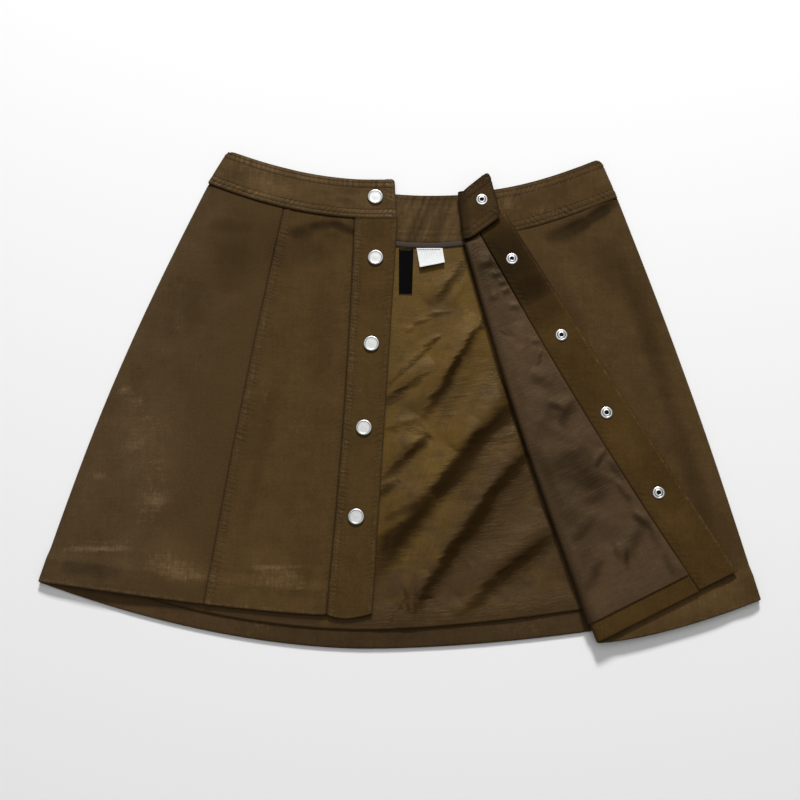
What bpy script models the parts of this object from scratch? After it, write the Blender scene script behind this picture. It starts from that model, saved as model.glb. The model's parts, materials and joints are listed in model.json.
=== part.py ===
"""Suede A-line skirt laid flat, its snap front open and the left front folded back over itself.

Blender 4.5, metres, +Z up. The skirt lies on the plane z = 0 with its waist towards +Y, and the
origin is under the middle of its outline. Left and right are the wearer's, so the right front is
at -X. Plans, tables and heights are in millimetres, and are scaled when a mesh is made.
"""

import math
from collections import namedtuple

import bpy
import numpy as np

MM = 0.001

# ---------------------------------------------------------------- thicknesses and allowances, mm
SUEDE = 1.2             # one layer of suede
LINING = 1.0            # one layer of lining, with the air that its weave holds
BAND = 3.0              # waistband, two layers and their stiffening
PLACKET = 2.6           # placket, a folded strip
LABEL = 1.0             # labels and binding tape
GAP = 0.3               # between layers that lie on each other
SEAM = 0.4              # between pieces that are sewn edge to edge
BAND_SEAM = 0.6         # between a curved waist seam and the band above it
FOLD_SEAM = 2.0         # there under the folded-back waistband, which twists as it turns
FOLD_REACH = 3.6        # axis of the front's fold to its outline
BAND_FOLD_REACH = 4.7   # axis of the waistband's fold to its outline

PANEL_LENGTH = 388.0    # waist seam to hem, along a front or the back
HEM = 20.0              # hem allowance, turned up inside
LINING_SHORT = 16.0     # lining ends this far above the hem
LINING_INSET = 9.0      # back lining ends this far inside the side seams
TAPE_WIDTH = 4.2
TAPE_INSET = 16.0       # the tape ends this far inside the side seams

# ---------------------------------------------------------------- heights of layers' middles, mm
BACK_MID = SUEDE / 2
LINING_MID = SUEDE + GAP + LINING / 2
LINING_HEM_MID = 2 * SUEDE + 2 * GAP + LINING / 2
LINING_TOP = LINING_MID + LINING / 2
SIDE_MID = SUEDE + GAP + SUEDE / 2      # a front, where it meets the back at the side seam
SIDE_HEM_RISE = 2 * (SUEDE + GAP)       # there at the hem, over two turned-up allowances
RIGHT_MID = 4.8                         # right front
RIGHT_HEM_RISE = 2.1
RIGHT_HEM_GAPE = 2.6                    # the right hem stands up a little near the side seam
LEFT_MID = 5.8                          # left front, lower layer
LEFT_FOLD_RISE = 1.1                    # there near the fold, over the hidden end of its lining
LEFT_HEM_RISE = 1.7
VALLEY_DEPTH = 0.9                      # long soft trough inside the right-hand outline
FLAP_MID = 8.5                          # folded-back layer at the placket
FLAP_FOLD_RISE = 1.7
FLAP_HEM_RISE = 1.6
BAND_MID = 5.1                          # front waistbands over the back one
BAND_END_DROP = 0.3
PLACKET_MID = 5.5                       # right placket
TAB_MID = 12.6                          # folded-back waistband end
PLACKET_HEM_RISE = 0.8                  # there over the back's hem

# ---------------------------------------------------------------- reach of those heights
RIGHT_ROLL = 0.14       # share of the side panel that rolls down to the right side seam
LEFT_ROLL = 0.078       # the same at the left, as a share of the way from seam to fold
GAPE_X = -262.0         # middle of the right hem's gape
GAPE_WIDTH = 46.0
GAPE_REACH = 70.0       # how far up it is felt
VALLEY_AT = 0.84        # share of the way from the fold to the left side seam
VALLEY_WIDTH = 0.06
RIDGE_FADE = 0.7        # below 1, a ridge keeps its height nearer its ends

# ---------------------------------------------------------------- snaps, mm
CAP_PROFILE = ((0.0, 2.2), (5.3, 2.2), (5.7, 2.5), (6.6, 2.4), (7.3, 1.7), (7.5, 0.8), (7.3, 0.0),
               (0.0, 0.0))
STUD_PROFILE = ((0.0, 0.4), (1.5, 0.4), (1.9, 1.5), (2.9, 1.7), (3.7, 1.2), (4.9, 1.4), (5.6, 0.9),
                (5.8, 0.3), (5.6, 0.0), (0.0, 0.0))
CAP_STEPS = 18
STUD_STEPS = 16

# ---------------------------------------------------------------- plan, mm
# A rail is a seam or free edge that runs from waist to hem. It is straight between its two ends,
# plus a bulge towards +X at its middle.
Rail = namedtuple("Rail", "top_x foot_x bulge")
RAILS = {
    "right_side": Rail(-187.0, -325.5, -9.5),
    "right_seam": Rail(-113.0, -176.0, -2.5),
    "right_placket_seam": Rail(-44.0, -66.0, 3.0),
    "right_placket_edge": Rail(-2.5, -25.0, 0.0),
    "left_side": Rail(211.0, 323.5, 4.5),
    "left_seam": Rail(111.0, 182.0, 0.0),
    "fold": Rail(61.5, 174.0, -5.5),
    "left_placket_seam": Rail(76.5, 267.0, -4.5),
    "left_placket_edge": Rail(102.0, 303.0, -1.0),
    "right_band_side": Rail(-169.0, -187.0, 0.0),
    "right_band_end": Rail(-6.0, -3.5, 0.0),
    "left_band_side": Rail(196.0, 211.0, 0.0),
    "band_fold": Rail(56.5, 61.5, 0.0),
    "tab_end": Rail(86.0, 97.0, 0.0),
}

# An edge runs across the skirt. It is lowest at (low_x, low_y), and rises to each side by its rise
# over its span, along a curve of the given power.
Edge = namedtuple("Edge", "low_x low_y left_span left_rise left_power "
                          "right_span right_rise right_power")
EDGES = {
    "back_band_top": Edge(29.0, 195.0, 198.0, 46.5, 1.9, 167.0, 37.0, 2.2),
    "back_waist": Edge(29.0, 145.5, 216.0, 62.0, 1.9, 182.0, 48.5, 1.7),
    "back_hem": Edge(-30.0, -239.2, 295.5, 59.2, 1.8, 353.5, 42.7, 1.8),
    "back_lining_hem": Edge(-30.0, -224.2, 286.5, 57.0, 1.9, 344.5, 45.8, 1.6),
    "right_band_top": Edge(-30.0, 210.0, 139.0, 31.5, 1.8, 30.0, 0.5, 1.0),
    "right_waist": Edge(-25.0, 170.5, 162.0, 37.0, 1.9, 25.0, 0.0, 1.0),
    "right_hem": Edge(-70.0, -210.0, 255.5, 30.0, 1.3, 60.0, 0.0, 1.0),
    "left_band_top": Edge(57.0, 196.0, 10.0, 0.0, 1.0, 139.0, 36.5, 1.7),
    "left_hem": Edge(174.0, -235.0, 10.0, 0.0, 1.0, 149.5, 38.5, 1.5),
    "flap_waist": Edge(64.0, 141.5, 10.0, 0.0, 1.0, 38.0, 32.5, 1.0),
    "flap_hem": Edge(174.0, -235.5, 10.0, 0.0, 1.0, 129.0, 63.0, 1.0),
    "tab_top": Edge(57.0, 191.5, 10.0, 0.0, 1.0, 29.0, 24.5, 1.0),
    "tab_foot": Edge(62.0, 142.5, 10.0, 0.0, 1.0, 35.0, 25.5, 1.0),
}

# A ridge is a soft fold from (x, y) to (end_x, end_y). Its height fades at both ends, and falls to
# a third within gentle millimetres on one side and steep on the other, which is on the right for
# someone who stands at its end and looks back. A negative height is a trough.
Ridge = namedtuple("Ridge", "x y end_x end_y height gentle steep")
LINING_RIDGES = (
    Ridge(108.0, 0.0, -30.0, -177.0, 6.2, 19.0, 10.0),
    Ridge(124.0, -38.0, 4.0, -212.0, 5.6, 15.0, 9.5),
    Ridge(80.0, 77.0, 8.0, -34.0, 4.4, 15.0, 9.0),
    Ridge(70.0, 130.0, 30.0, 78.0, 3.0, 12.0, 8.0),
    Ridge(136.0, -118.0, 58.0, -206.0, 4.2, 15.0, 9.0),
    Ridge(36.0, 34.0, -16.0, -24.0, 2.4, 11.0, 8.0),
    Ridge(30.0, -46.0, -20.0, -88.0, 2.4, 12.0, 8.0),
    Ridge(26.0, -172.0, 4.0, -226.0, 2.2, 10.0, 8.0),
)
RIGHT_RIDGES = (
    Ridge(-96.0, 164.0, -46.0, 166.0, -1.0, 8.0, 9.0),
    Ridge(-112.0, 144.0, -44.0, 150.0, 0.8, 12.0, 10.0),
    Ridge(-180.0, 60.0, -250.0, -120.0, 1.2, 32.0, 26.0),
    Ridge(-90.0, 90.0, -110.0, -150.0, 0.8, 26.0, 26.0),
)
LEFT_RIDGES = (
    Ridge(146.0, 160.0, 206.0, 172.0, -1.0, 9.0, 8.0),
    Ridge(150.0, 144.0, 214.0, 150.0, 0.8, 12.0, 10.0),
    Ridge(190.0, 60.0, 280.0, -130.0, 0.7, 26.0, 26.0),
)
FLAP_RIDGES = (
    Ridge(84.0, 118.0, 100.0, 60.0, 1.6, 9.0, 8.0),
    Ridge(112.0, 64.0, 120.0, 2.0, 1.5, 10.0, 8.0),
    Ridge(134.0, 4.0, 128.0, -50.0, 1.8, 9.0, 9.0),
    Ridge(150.0, -30.0, 176.0, -96.0, 1.6, 11.0, 9.0),
    Ridge(150.0, -112.0, 206.0, -138.0, 1.7, 10.0, 9.0),
    Ridge(188.0, -148.0, 226.0, -170.0, 1.4, 9.0, 8.0),
)

# A label hangs from the tape between its corners. Its foot rises towards the right, and its end
# curls up from the lining.
Label = namedtuple("Label", "top_left top_right top_y foot_left foot_right foot_y foot_rise curl")
WOVEN_LABEL = Label(-1.0, 13.0, 139.8, -1.0, 11.5, 94.0, 0.0, 0.0)
CARE_LABEL = Label(16.0, 41.0, 140.2, 19.0, 43.0, 119.5, 5.0, 3.0)

# A snap sits at (x, y), on a surface at the given height.
Snap = namedtuple("Snap", "x y surface")
CAPS = (
    Snap(-24.0, 192.0, BAND_MID + BAND / 2),
    Snap(-23.5, 129.0, PLACKET_MID + PLACKET / 2),
    Snap(-27.0, 42.5, PLACKET_MID + PLACKET / 2),
    Snap(-33.5, -39.0, PLACKET_MID + PLACKET / 2),
    Snap(-40.0, -122.5, PLACKET_MID + PLACKET / 2),
)
STUDS = (
    Snap(79.0, 186.0, TAB_MID + BAND / 2),
    Snap(107.0, 126.5, FLAP_MID + PLACKET - SUEDE / 2),
    Snap(152.0, 50.0, FLAP_MID + PLACKET - SUEDE / 2),
    Snap(191.5, -25.5, FLAP_MID + PLACKET - SUEDE / 2),
    Snap(236.0, -101.0, FLAP_MID + PLACKET - SUEDE / 2),
)


# ---------------------------------------------------------------- curves and soft steps

def edge_y(edge, x):
    """Y of a waist or hem edge at each x."""
    reach = x - edge.low_x
    left = edge.left_rise * (np.maximum(-reach, 0.0) / edge.left_span) ** edge.left_power
    right = edge.right_rise * (np.maximum(reach, 0.0) / edge.right_span) ** edge.right_power
    return edge.low_y + left + right


def ramp(value, start, end):
    """Straight step from 0 at start to 1 at end."""
    return np.clip((value - start) / (end - start), 0.0, 1.0)


def soft(value, start, end):
    """Rounded step from 0 at start to 1 at end."""
    step = ramp(value, start, end)
    return step * step * (3.0 - 2.0 * step)


def relief(x, y, ridges):
    """Height that a table of ridges adds at each point of the plan."""
    total = np.zeros_like(x)
    for ridge in ridges:
        run_x = ridge.end_x - ridge.x
        run_y = ridge.end_y - ridge.y
        length = math.hypot(run_x, run_y)
        along = ((x - ridge.x) * run_x + (y - ridge.y) * run_y) / length ** 2
        aside = ((x - ridge.x) * run_y - (y - ridge.y) * run_x) / length
        fade = np.sin(math.pi * np.clip(along, 0.0, 1.0)) ** RIDGE_FADE
        width = np.where(aside > 0.0, ridge.gentle, ridge.steep)
        total += ridge.height * fade * np.exp(-(aside / width) ** 2)
    return total


def moved(rail, distance):
    """The same rail moved along X, as seam gaps and insets need."""
    return Rail(rail.top_x + distance, rail.foot_x + distance, rail.bulge)


def lowered(edge, distance):
    """The same edge moved towards -Y."""
    return edge._replace(low_y=edge.low_y - distance)


def level(y):
    """An edge at one y all along."""
    return Edge(0.0, y, 1.0, 0.0, 1.0, 1.0, 0.0, 1.0)


def rail_x(rail, down):
    """X of a rail at each fraction down it."""
    straight = rail.top_x + (rail.foot_x - rail.top_x) * down
    return straight + rail.bulge * np.sin(math.pi * down)


def rows_down(steps, hem_rows):
    """Fractions of a panel's length: even steps from the waist, then rows set above the hem in mm."""
    set_rows = [1.0 - row / PANEL_LENGTH for row in hem_rows]
    return np.array(list(np.linspace(0.0, set_rows[0], steps + 1)) + set_rows[1:])


def above_hem(down):
    """Millimetres above the hem at each fraction down a panel."""
    return (1.0 - down) * PANEL_LENGTH


HEM_BLEND = 10.0        # the layers above step up over this length before the allowance
SUEDE_ROWS = (HEM + HEM_BLEND, HEM, HEM / 2, 0.0)
LINING_ROWS = (HEM + 12.0, HEM + 4.0, LINING_SHORT)
PLACKET_ROWS = (HEM, 0.0)
STEPS = 12              # even steps down a front, above those rows
BACK_STEPS = 10
LINING_STEPS = 27
FOLD_COLUMNS = 5        # columns of points round a fold
BAND_ROWS = (0.0, 0.5, 1.0)
PLACKET_COLUMNS = (0.0, 0.33, 0.67, 1.0)
PLACKET_DROOP = (0.0, 3.0, 3.6, 0.0)    # how far each of them hangs below the hem
UNDER_COLUMNS = (0.0, 0.25)             # of the folded lining, on the hidden lower layer


# ---------------------------------------------------------------- grids

def plan_grid(left, right, top, foot, across, down):
    """Plan of one cut piece between two rails and two edges, a row for each fraction down."""
    share, fall = np.meshgrid(np.asarray(across), np.asarray(down))
    top_x = left.top_x + (right.top_x - left.top_x) * share
    foot_x = left.foot_x + (right.foot_x - left.foot_x) * share
    bulge = left.bulge + (right.bulge - left.bulge) * share
    x = top_x + (foot_x - top_x) * fall + bulge * np.sin(math.pi * fall)
    y = edge_y(top, top_x) * (1.0 - fall) + edge_y(foot, foot_x) * fall
    return x, y, share, fall


def stacked(x, y, z):
    """One grid of points from three grids of coordinates."""
    return np.stack((x, y, z + np.zeros_like(x)), axis=-1)


def grid_normals(points):
    """Unit normal at each point of a grid, on the side of +Z for a grid that lies flat."""
    across = np.gradient(points, axis=1)
    down = np.gradient(points, axis=0)
    normal = np.cross(down, across)
    return normal / np.linalg.norm(normal, axis=-1, keepdims=True)


def turned_up(points, inside):
    """Adds the hem allowance, which turns round the last row and lies on the rows above it."""
    normal = grid_normals(points) * inside
    radius = (SUEDE + GAP) / 2
    outward = points[-1] - points[-2]
    outward /= np.linalg.norm(outward, axis=-1, keepdims=True)
    rows = list(points)
    for angle in np.radians((45.0, 90.0, 135.0, 180.0)):
        rise = radius * (1.0 - math.cos(angle))
        rows.append(points[-1] + outward * radius * math.sin(angle) + normal[-1] * rise)
    for row in (-2, -3):
        rows.append(points[row] + normal[row] * 2 * radius)
    return np.array(rows)


# ---------------------------------------------------------------- heights of the fronts

def side_roll(share, roll):
    """0 at a side seam, rising round a quarter ellipse to 1 where the roll ends."""
    return np.sqrt(1.0 - (1.0 - np.clip(share / roll, 0.0, 1.0)) ** 2)


def hem_step(fall):
    """1 over the turned-up allowance, 0 above it."""
    return ramp(above_hem(fall), HEM + HEM_BLEND, HEM)


def right_height(x, y, fall, from_side):
    """Middle of the right front's suede."""
    step = hem_step(fall)
    gape = RIGHT_HEM_GAPE * np.exp(-((x - GAPE_X) / GAPE_WIDTH) ** 2)
    gape = gape * soft(above_hem(fall), GAPE_REACH, 0.0)
    plateau = RIGHT_MID + relief(x, y, RIGHT_RIDGES) + RIGHT_HEM_RISE * step + gape
    edge = SIDE_MID + SIDE_HEM_RISE * step
    return edge + (plateau - edge) * side_roll(from_side, RIGHT_ROLL)


def left_height(x, y, fall):
    """Middle of the left front's lower layer of suede."""
    fold_x = rail_x(RAILS["fold"], fall)
    side_x = rail_x(RAILS["left_side"], fall)
    across = (x - fold_x) / (side_x - fold_x)
    step = hem_step(fall)
    valley = VALLEY_DEPTH * np.exp(-((across - VALLEY_AT) / VALLEY_WIDTH) ** 2)
    valley = valley * soft(fall, 0.1, 0.25)
    near_fold = LEFT_FOLD_RISE * (1.0 - soft(across, 0.1, 0.55))
    plateau = LEFT_MID + near_fold - valley + relief(x, y, LEFT_RIDGES) + LEFT_HEM_RISE * step
    edge = SIDE_MID + SIDE_HEM_RISE * step
    return edge + (plateau - edge) * side_roll(1.0 - across, LEFT_ROLL)


def flap_height(share, fall):
    """Middle of the folded-back suede, from the fold at share 0 to the placket at share 1."""
    near_fold = FLAP_FOLD_RISE * (1.0 - soft(share, 0.0, 0.7))
    return FLAP_MID + near_fold + FLAP_HEM_RISE * soft(fall, 0.76, 0.9)


def folded_grid(lower, upper, lower_columns, upper_columns):
    """Joins a lower and an upper layer by a half round at their left.

    lower and upper give a layer's points for fractions away from the half round's axis.
    """
    low_edge = lower(np.array([0.0]))[:, 0]
    high_edge = upper(np.array([0.0]))[:, 0]
    radius = (high_edge[:, 2] - low_edge[:, 2]) / 2
    columns = [lower(np.array([share]))[:, 0] for share in reversed(lower_columns)]
    for angle in np.linspace(0.0, math.pi, FOLD_COLUMNS + 2)[1:-1]:
        blend = (1.0 - math.cos(angle)) / 2
        column = low_edge * (1.0 - blend) + high_edge * blend
        column[:, 0] -= radius * math.sin(angle)
        columns.append(column)
    columns.extend(upper(np.array([share]))[:, 0] for share in upper_columns)
    return np.stack(columns, axis=1)


# ---------------------------------------------------------------- objects

def clear_scene():
    """Removes every object that the scene starts with."""
    for item in list(bpy.data.objects):
        bpy.data.objects.remove(item, do_unlink=True)


def finish(name, colour, roughness, metallic=0.0):
    """A Principled material."""
    material = bpy.data.materials.new(name)
    material.use_nodes = True
    shader = material.node_tree.nodes["Principled BSDF"]
    shader.inputs["Base Color"].default_value = (*colour, 1.0)
    shader.inputs["Roughness"].default_value = roughness
    shader.inputs["Metallic"].default_value = metallic
    return material


def adopt(item, name, collection, material):
    """Names an object, gives it its material and moves it to the skirt's collection."""
    item.name = name
    item.data.name = name
    item.data.materials.clear()
    item.data.materials.append(material)
    for owner in list(item.users_collection):
        owner.objects.unlink(item)
    collection.objects.link(item)
    return item


def cloth_sheet(name, points, thickness, collection, material):
    """A wall of cloth whose middle passes through a grid of points in millimetres."""
    row_count, column_count = points.shape[:2]
    bpy.ops.mesh.primitive_grid_add(x_subdivisions=column_count - 1, y_subdivisions=row_count - 1)
    sheet = adopt(bpy.context.object, name, collection, material)
    upwards = points[::-1].reshape(-1, 3) * MM
    sheet.data.vertices.foreach_set("co", upwards.ravel())
    sheet.data.update()
    wall = sheet.modifiers.new("wall", "SOLIDIFY")
    wall.thickness = thickness * MM
    wall.offset = 0.0
    return sheet


def turned_piece(name, profile, steps, snap, collection, material):
    """A round fitting turned from a profile, seated just above a surface."""
    mesh = bpy.data.meshes.new(name)
    corners = [(radius * MM, 0.0, height * MM) for radius, height in profile]
    mesh.from_pydata(corners, [(i, i + 1) for i in range(len(corners) - 1)], [])
    piece = bpy.data.objects.new(name, mesh)
    piece.location = (snap.x * MM, snap.y * MM, (snap.surface + GAP) * MM)
    mesh.materials.append(material)
    collection.objects.link(piece)
    turn = piece.modifiers.new("turn", "SCREW")
    turn.steps = steps
    turn.render_steps = steps
    turn.use_merge_vertices = True
    turn.merge_threshold = 0.00001
    turn.use_smooth_shade = True
    return piece


# ---------------------------------------------------------------- the skirt

def build_back(collection, suede, satin, trim):
    """Back panel, its lining, its waistband and the tape under the band."""
    left = RAILS["right_side"]
    right = RAILS["left_side"]
    waist = EDGES["back_waist"]
    hem = EDGES["back_hem"]

    across = np.linspace(0.0, 1.0, 27)
    down = rows_down(BACK_STEPS, SUEDE_ROWS)
    x, y, _, _ = plan_grid(left, right, lowered(waist, BAND_SEAM), hem, across, down)
    panel = turned_up(stacked(x, y, BACK_MID), inside=1.0)
    cloth_sheet("back_panel", panel, SUEDE, collection, suede)

    under_fronts = np.linspace(0.0, 0.44, 5)
    in_opening = np.linspace(0.44, 0.80, 19)[1:]
    across = (*under_fronts, *in_opening, 0.9, 1.0)
    own_rows = [row - LINING_SHORT for row in LINING_ROWS]
    down = rows_down(LINING_STEPS, own_rows)
    x, y, _, fall = plan_grid(moved(left, LINING_INSET), moved(right, -LINING_INSET),
                              lowered(waist, BAND_SEAM), EDGES["back_lining_hem"], across, down)
    over_hem = ramp(above_hem(fall), own_rows[0], own_rows[1])
    shown = soft(x - rail_x(RAILS["right_placket_edge"], fall), 2.0, 16.0)
    shown = shown * soft(rail_x(RAILS["fold"], fall) - x, 2.0, 14.0)
    height = LINING_MID + (LINING_HEM_MID - LINING_MID) * over_hem
    height = height + relief(x, y, LINING_RIDGES) * shown * soft(fall, 0.05, 0.16)
    cloth_sheet("back_lining", stacked(x, y, height), LINING, collection, satin)

    across = np.linspace(0.0, 1.0, 29)
    x, y, _, _ = plan_grid(RAILS["right_band_side"], RAILS["left_band_side"],
                           EDGES["back_band_top"], waist, across, BAND_ROWS)
    cloth_sheet("back_waistband", stacked(x, y, BAND / 2), BAND, collection, suede)

    tape_left = moved(Rail(left.top_x, left.top_x, 0.0), TAPE_INSET)
    tape_right = moved(Rail(right.top_x, right.top_x, 0.0), -TAPE_INSET)
    x, y, _, _ = plan_grid(tape_left, tape_right, lowered(waist, BAND_SEAM),
                           lowered(waist, BAND_SEAM + TAPE_WIDTH), across, (0.0, 1.0))
    cloth_sheet("waist_tape", stacked(x, y, LINING_TOP + GAP + LABEL / 2), LABEL, collection, trim)


def build_label(name, label, collection, material):
    """A small bare label that hangs from the tape and lies on the lining."""
    foot = Edge(label.foot_left, label.foot_y, 1.0, 0.0, 1.0,
                label.foot_right - label.foot_left, label.foot_rise, 1.0)
    steps = np.linspace(0.0, 1.0, 5)
    x, y, _, fall = plan_grid(Rail(label.top_left, label.foot_left, 0.0),
                              Rail(label.top_right, label.foot_right, 0.0),
                              level(label.top_y), foot, steps, steps)
    height = LINING_TOP + GAP + LABEL / 2 + label.curl * fall ** 2
    cloth_sheet(name, stacked(x, y, height), LABEL, collection, material)


def build_right_front(collection, suede):
    """Right front: side panel, centre panel, placket and waistband, all outside up."""
    waist = EDGES["right_waist"]
    hem = EDGES["right_hem"]
    top = lowered(waist, BAND_SEAM)
    down = rows_down(STEPS, SUEDE_ROWS)

    across = (0.0, 0.02, 0.06, RIGHT_ROLL, 0.27, 0.4, 0.55, 0.7, 0.85, 1.0)
    x, y, share, fall = plan_grid(RAILS["right_side"], moved(RAILS["right_seam"], -SEAM / 2),
                                  top, hem, across, down)
    side = turned_up(stacked(x, y, right_height(x, y, fall, share)), inside=-1.0)
    cloth_sheet("right_side_front", side, SUEDE, collection, suede)

    across = np.linspace(0.0, 1.0, 9)
    x, y, _, fall = plan_grid(moved(RAILS["right_seam"], SEAM / 2),
                              moved(RAILS["right_placket_seam"], -SEAM / 2),
                              top, hem, across, down)
    centre = turned_up(stacked(x, y, right_height(x, y, fall, np.ones_like(x))), inside=-1.0)
    cloth_sheet("right_centre_front", centre, SUEDE, collection, suede)

    x, y, _, fall = plan_grid(moved(RAILS["right_placket_seam"], SEAM / 2),
                              RAILS["right_placket_edge"], top, hem, PLACKET_COLUMNS,
                              rows_down(STEPS, PLACKET_ROWS))
    y = y - np.array(PLACKET_DROOP) * ramp(fall, 0.9, 1.0)
    height = PLACKET_MID + PLACKET_HEM_RISE * ramp(fall, 0.88, 0.98)
    cloth_sheet("right_placket", stacked(x, y, height), PLACKET, collection, suede)

    across = np.linspace(0.0, 1.0, 17)
    x, y, share, _ = plan_grid(RAILS["right_band_side"], RAILS["right_band_end"],
                               EDGES["right_band_top"], waist, across, BAND_ROWS)
    height = BAND_MID - BAND_END_DROP * (1.0 - soft(share, 0.0, 0.08))
    cloth_sheet("right_waistband", stacked(x, y, height), BAND, collection, suede)


def left_layers(rows):
    """Lower and upper layers of the left centre front, as functions of fractions from the fold."""
    axis = moved(RAILS["fold"], FOLD_REACH)
    waist = lowered(EDGES["back_waist"], FOLD_SEAM)

    def lower(share):
        x, y, _, fall = plan_grid(axis, moved(RAILS["left_seam"], -SEAM / 2), waist,
                                  EDGES["left_hem"], share, rows)
        return stacked(x, y, left_height(x, y, fall))

    def upper(share):
        x, y, spread, fall = plan_grid(axis, moved(RAILS["left_placket_seam"], -SEAM / 2),
                                       EDGES["flap_waist"], EDGES["flap_hem"], share, rows)
        return stacked(x, y, flap_height(spread, fall))

    return lower, upper


def build_left_front(collection, suede, satin):
    """Left front: side panel outside up, centre panel round the fold, lining, placket and band."""
    waist = EDGES["back_waist"]
    top = lowered(waist, BAND_SEAM)

    rows = rows_down(STEPS, SUEDE_ROWS)
    across = (0.0, 0.2, 0.4, 0.6, 0.74, 0.85, 0.93, 0.98, 1.0)
    x, y, _, fall = plan_grid(moved(RAILS["left_seam"], SEAM / 2), RAILS["left_side"],
                              top, EDGES["left_hem"], across, rows)
    side = turned_up(stacked(x, y, left_height(x, y, fall)), inside=-1.0)
    cloth_sheet("left_side_front", side, SUEDE, collection, suede)

    upper_columns = np.linspace(0.0, 1.0, 8)
    lower, upper = left_layers(rows)
    centre = folded_grid(lower, upper, (*UNDER_COLUMNS, 0.6, 1.0), upper_columns)
    cloth_sheet("left_centre_front", turned_up(centre, inside=1.0), SUEDE, collection, suede)

    rows = rows_down(STEPS, LINING_ROWS)
    lower, upper = left_layers(rows)
    under = folded_grid(lower, upper, UNDER_COLUMNS, upper_columns)
    over_hem = ramp(above_hem(rows), LINING_ROWS[0], LINING_ROWS[1])[:, None, None]
    away = SUEDE / 2 + GAP + LINING / 2 + (SUEDE + GAP) * over_hem
    lining = under + grid_normals(under) * away
    on_top = np.arange(lining.shape[1]) > len(UNDER_COLUMNS) + FOLD_COLUMNS
    lining[..., 2] += relief(lining[..., 0], lining[..., 1], FLAP_RIDGES) * on_top
    cloth_sheet("left_front_lining", lining, LINING, collection, satin)

    x, y, _, fall = plan_grid(moved(RAILS["left_placket_seam"], SEAM / 2),
                              RAILS["left_placket_edge"], EDGES["flap_waist"],
                              EDGES["flap_hem"], PLACKET_COLUMNS, rows_down(STEPS, PLACKET_ROWS))
    height = flap_height(np.ones_like(x), fall) + (PLACKET - SUEDE) / 2
    cloth_sheet("left_placket", stacked(x, y, height), PLACKET, collection, suede)

    band_axis = moved(RAILS["band_fold"], BAND_FOLD_REACH)

    def band_lower(share):
        x, y, spread, _ = plan_grid(band_axis, RAILS["left_band_side"],
                                    EDGES["left_band_top"], waist, share, BAND_ROWS)
        return stacked(x, y, BAND_MID - BAND_END_DROP * soft(spread, 0.92, 1.0))

    def band_upper(share):
        x, y, _, _ = plan_grid(band_axis, RAILS["tab_end"], EDGES["tab_top"],
                               EDGES["tab_foot"], share, BAND_ROWS)
        return stacked(x, y, TAB_MID)

    band = folded_grid(band_lower, band_upper, np.linspace(0.0, 1.0, 12),
                       (0.0, 0.33, 0.67, 1.0))
    cloth_sheet("left_waistband", band, BAND, collection, suede)


def build_snaps(collection, steel):
    """Five caps on the right placket and band, five stud backs on the left ones."""
    for number, snap in enumerate(CAPS, start=1):
        turned_piece(f"snap_cap_{number}", CAP_PROFILE, CAP_STEPS, snap, collection, steel)
    for number, snap in enumerate(STUDS, start=1):
        turned_piece(f"snap_stud_{number}", STUD_PROFILE, STUD_STEPS, snap, collection, steel)


def main():
    """Builds the whole skirt."""
    clear_scene()
    collection = bpy.data.collections.new("suede_a_line_skirt")
    bpy.context.scene.collection.children.link(collection)
    suede = finish("suede", (0.075, 0.043, 0.016), 0.9)
    satin = finish("satin_lining", (0.115, 0.065, 0.018), 0.42)
    trim = finish("binding_tape", (0.06, 0.045, 0.03), 0.8)
    dark = finish("dark_label", (0.01, 0.01, 0.012), 0.7)
    pale = finish("pale_label", (0.75, 0.75, 0.74), 0.6)
    steel = finish("snap_metal", (0.56, 0.55, 0.53), 0.32, 1.0)
    build_back(collection, suede, satin, trim)
    build_label("woven_label", WOVEN_LABEL, collection, dark)
    build_label("care_label", CARE_LABEL, collection, pale)
    build_right_front(collection, suede)
    build_left_front(collection, suede, satin)
    build_snaps(collection, steel)


main()
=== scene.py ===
"""Looks of the suede A-line skirt: its cloth, lining, sewing, labels and snaps, with light and camera.

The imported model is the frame. Plans, tables and heights are in millimetres in that frame, with the
waist towards +Y, the wearer's left towards +X and the surface that the skirt lies on at z = 0. They
are turned into metres where a mesh is made. Left and right are the wearer's.
"""

import json
import logging
import math
from collections.abc import Sequence
from dataclasses import dataclass, field, replace
from enum import Enum
from functools import reduce
from typing import ClassVar

import bpy
import numpy as np
from mathutils import Matrix, Vector
from mathutils.bvhtree import BVHTree

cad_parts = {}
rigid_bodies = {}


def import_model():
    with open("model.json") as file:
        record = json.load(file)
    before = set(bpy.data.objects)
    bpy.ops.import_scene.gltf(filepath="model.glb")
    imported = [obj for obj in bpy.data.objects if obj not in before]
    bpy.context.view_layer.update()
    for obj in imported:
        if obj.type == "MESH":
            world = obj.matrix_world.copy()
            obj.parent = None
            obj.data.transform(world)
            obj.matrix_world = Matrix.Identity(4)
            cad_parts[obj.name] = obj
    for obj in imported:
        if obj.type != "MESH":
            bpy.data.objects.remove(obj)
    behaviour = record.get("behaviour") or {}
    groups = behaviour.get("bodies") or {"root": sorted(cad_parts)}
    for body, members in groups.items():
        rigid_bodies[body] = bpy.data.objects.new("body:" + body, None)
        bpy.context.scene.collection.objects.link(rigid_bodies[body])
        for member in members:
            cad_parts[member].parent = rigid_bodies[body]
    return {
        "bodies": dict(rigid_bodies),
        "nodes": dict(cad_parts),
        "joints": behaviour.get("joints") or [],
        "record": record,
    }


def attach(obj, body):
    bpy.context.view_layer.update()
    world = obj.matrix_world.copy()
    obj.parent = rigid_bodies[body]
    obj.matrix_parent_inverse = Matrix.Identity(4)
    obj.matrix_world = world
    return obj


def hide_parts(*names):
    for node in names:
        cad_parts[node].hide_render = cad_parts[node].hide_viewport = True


LOG = logging.getLogger("skirt")
ROOT = "root"
MM = 0.001

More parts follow.
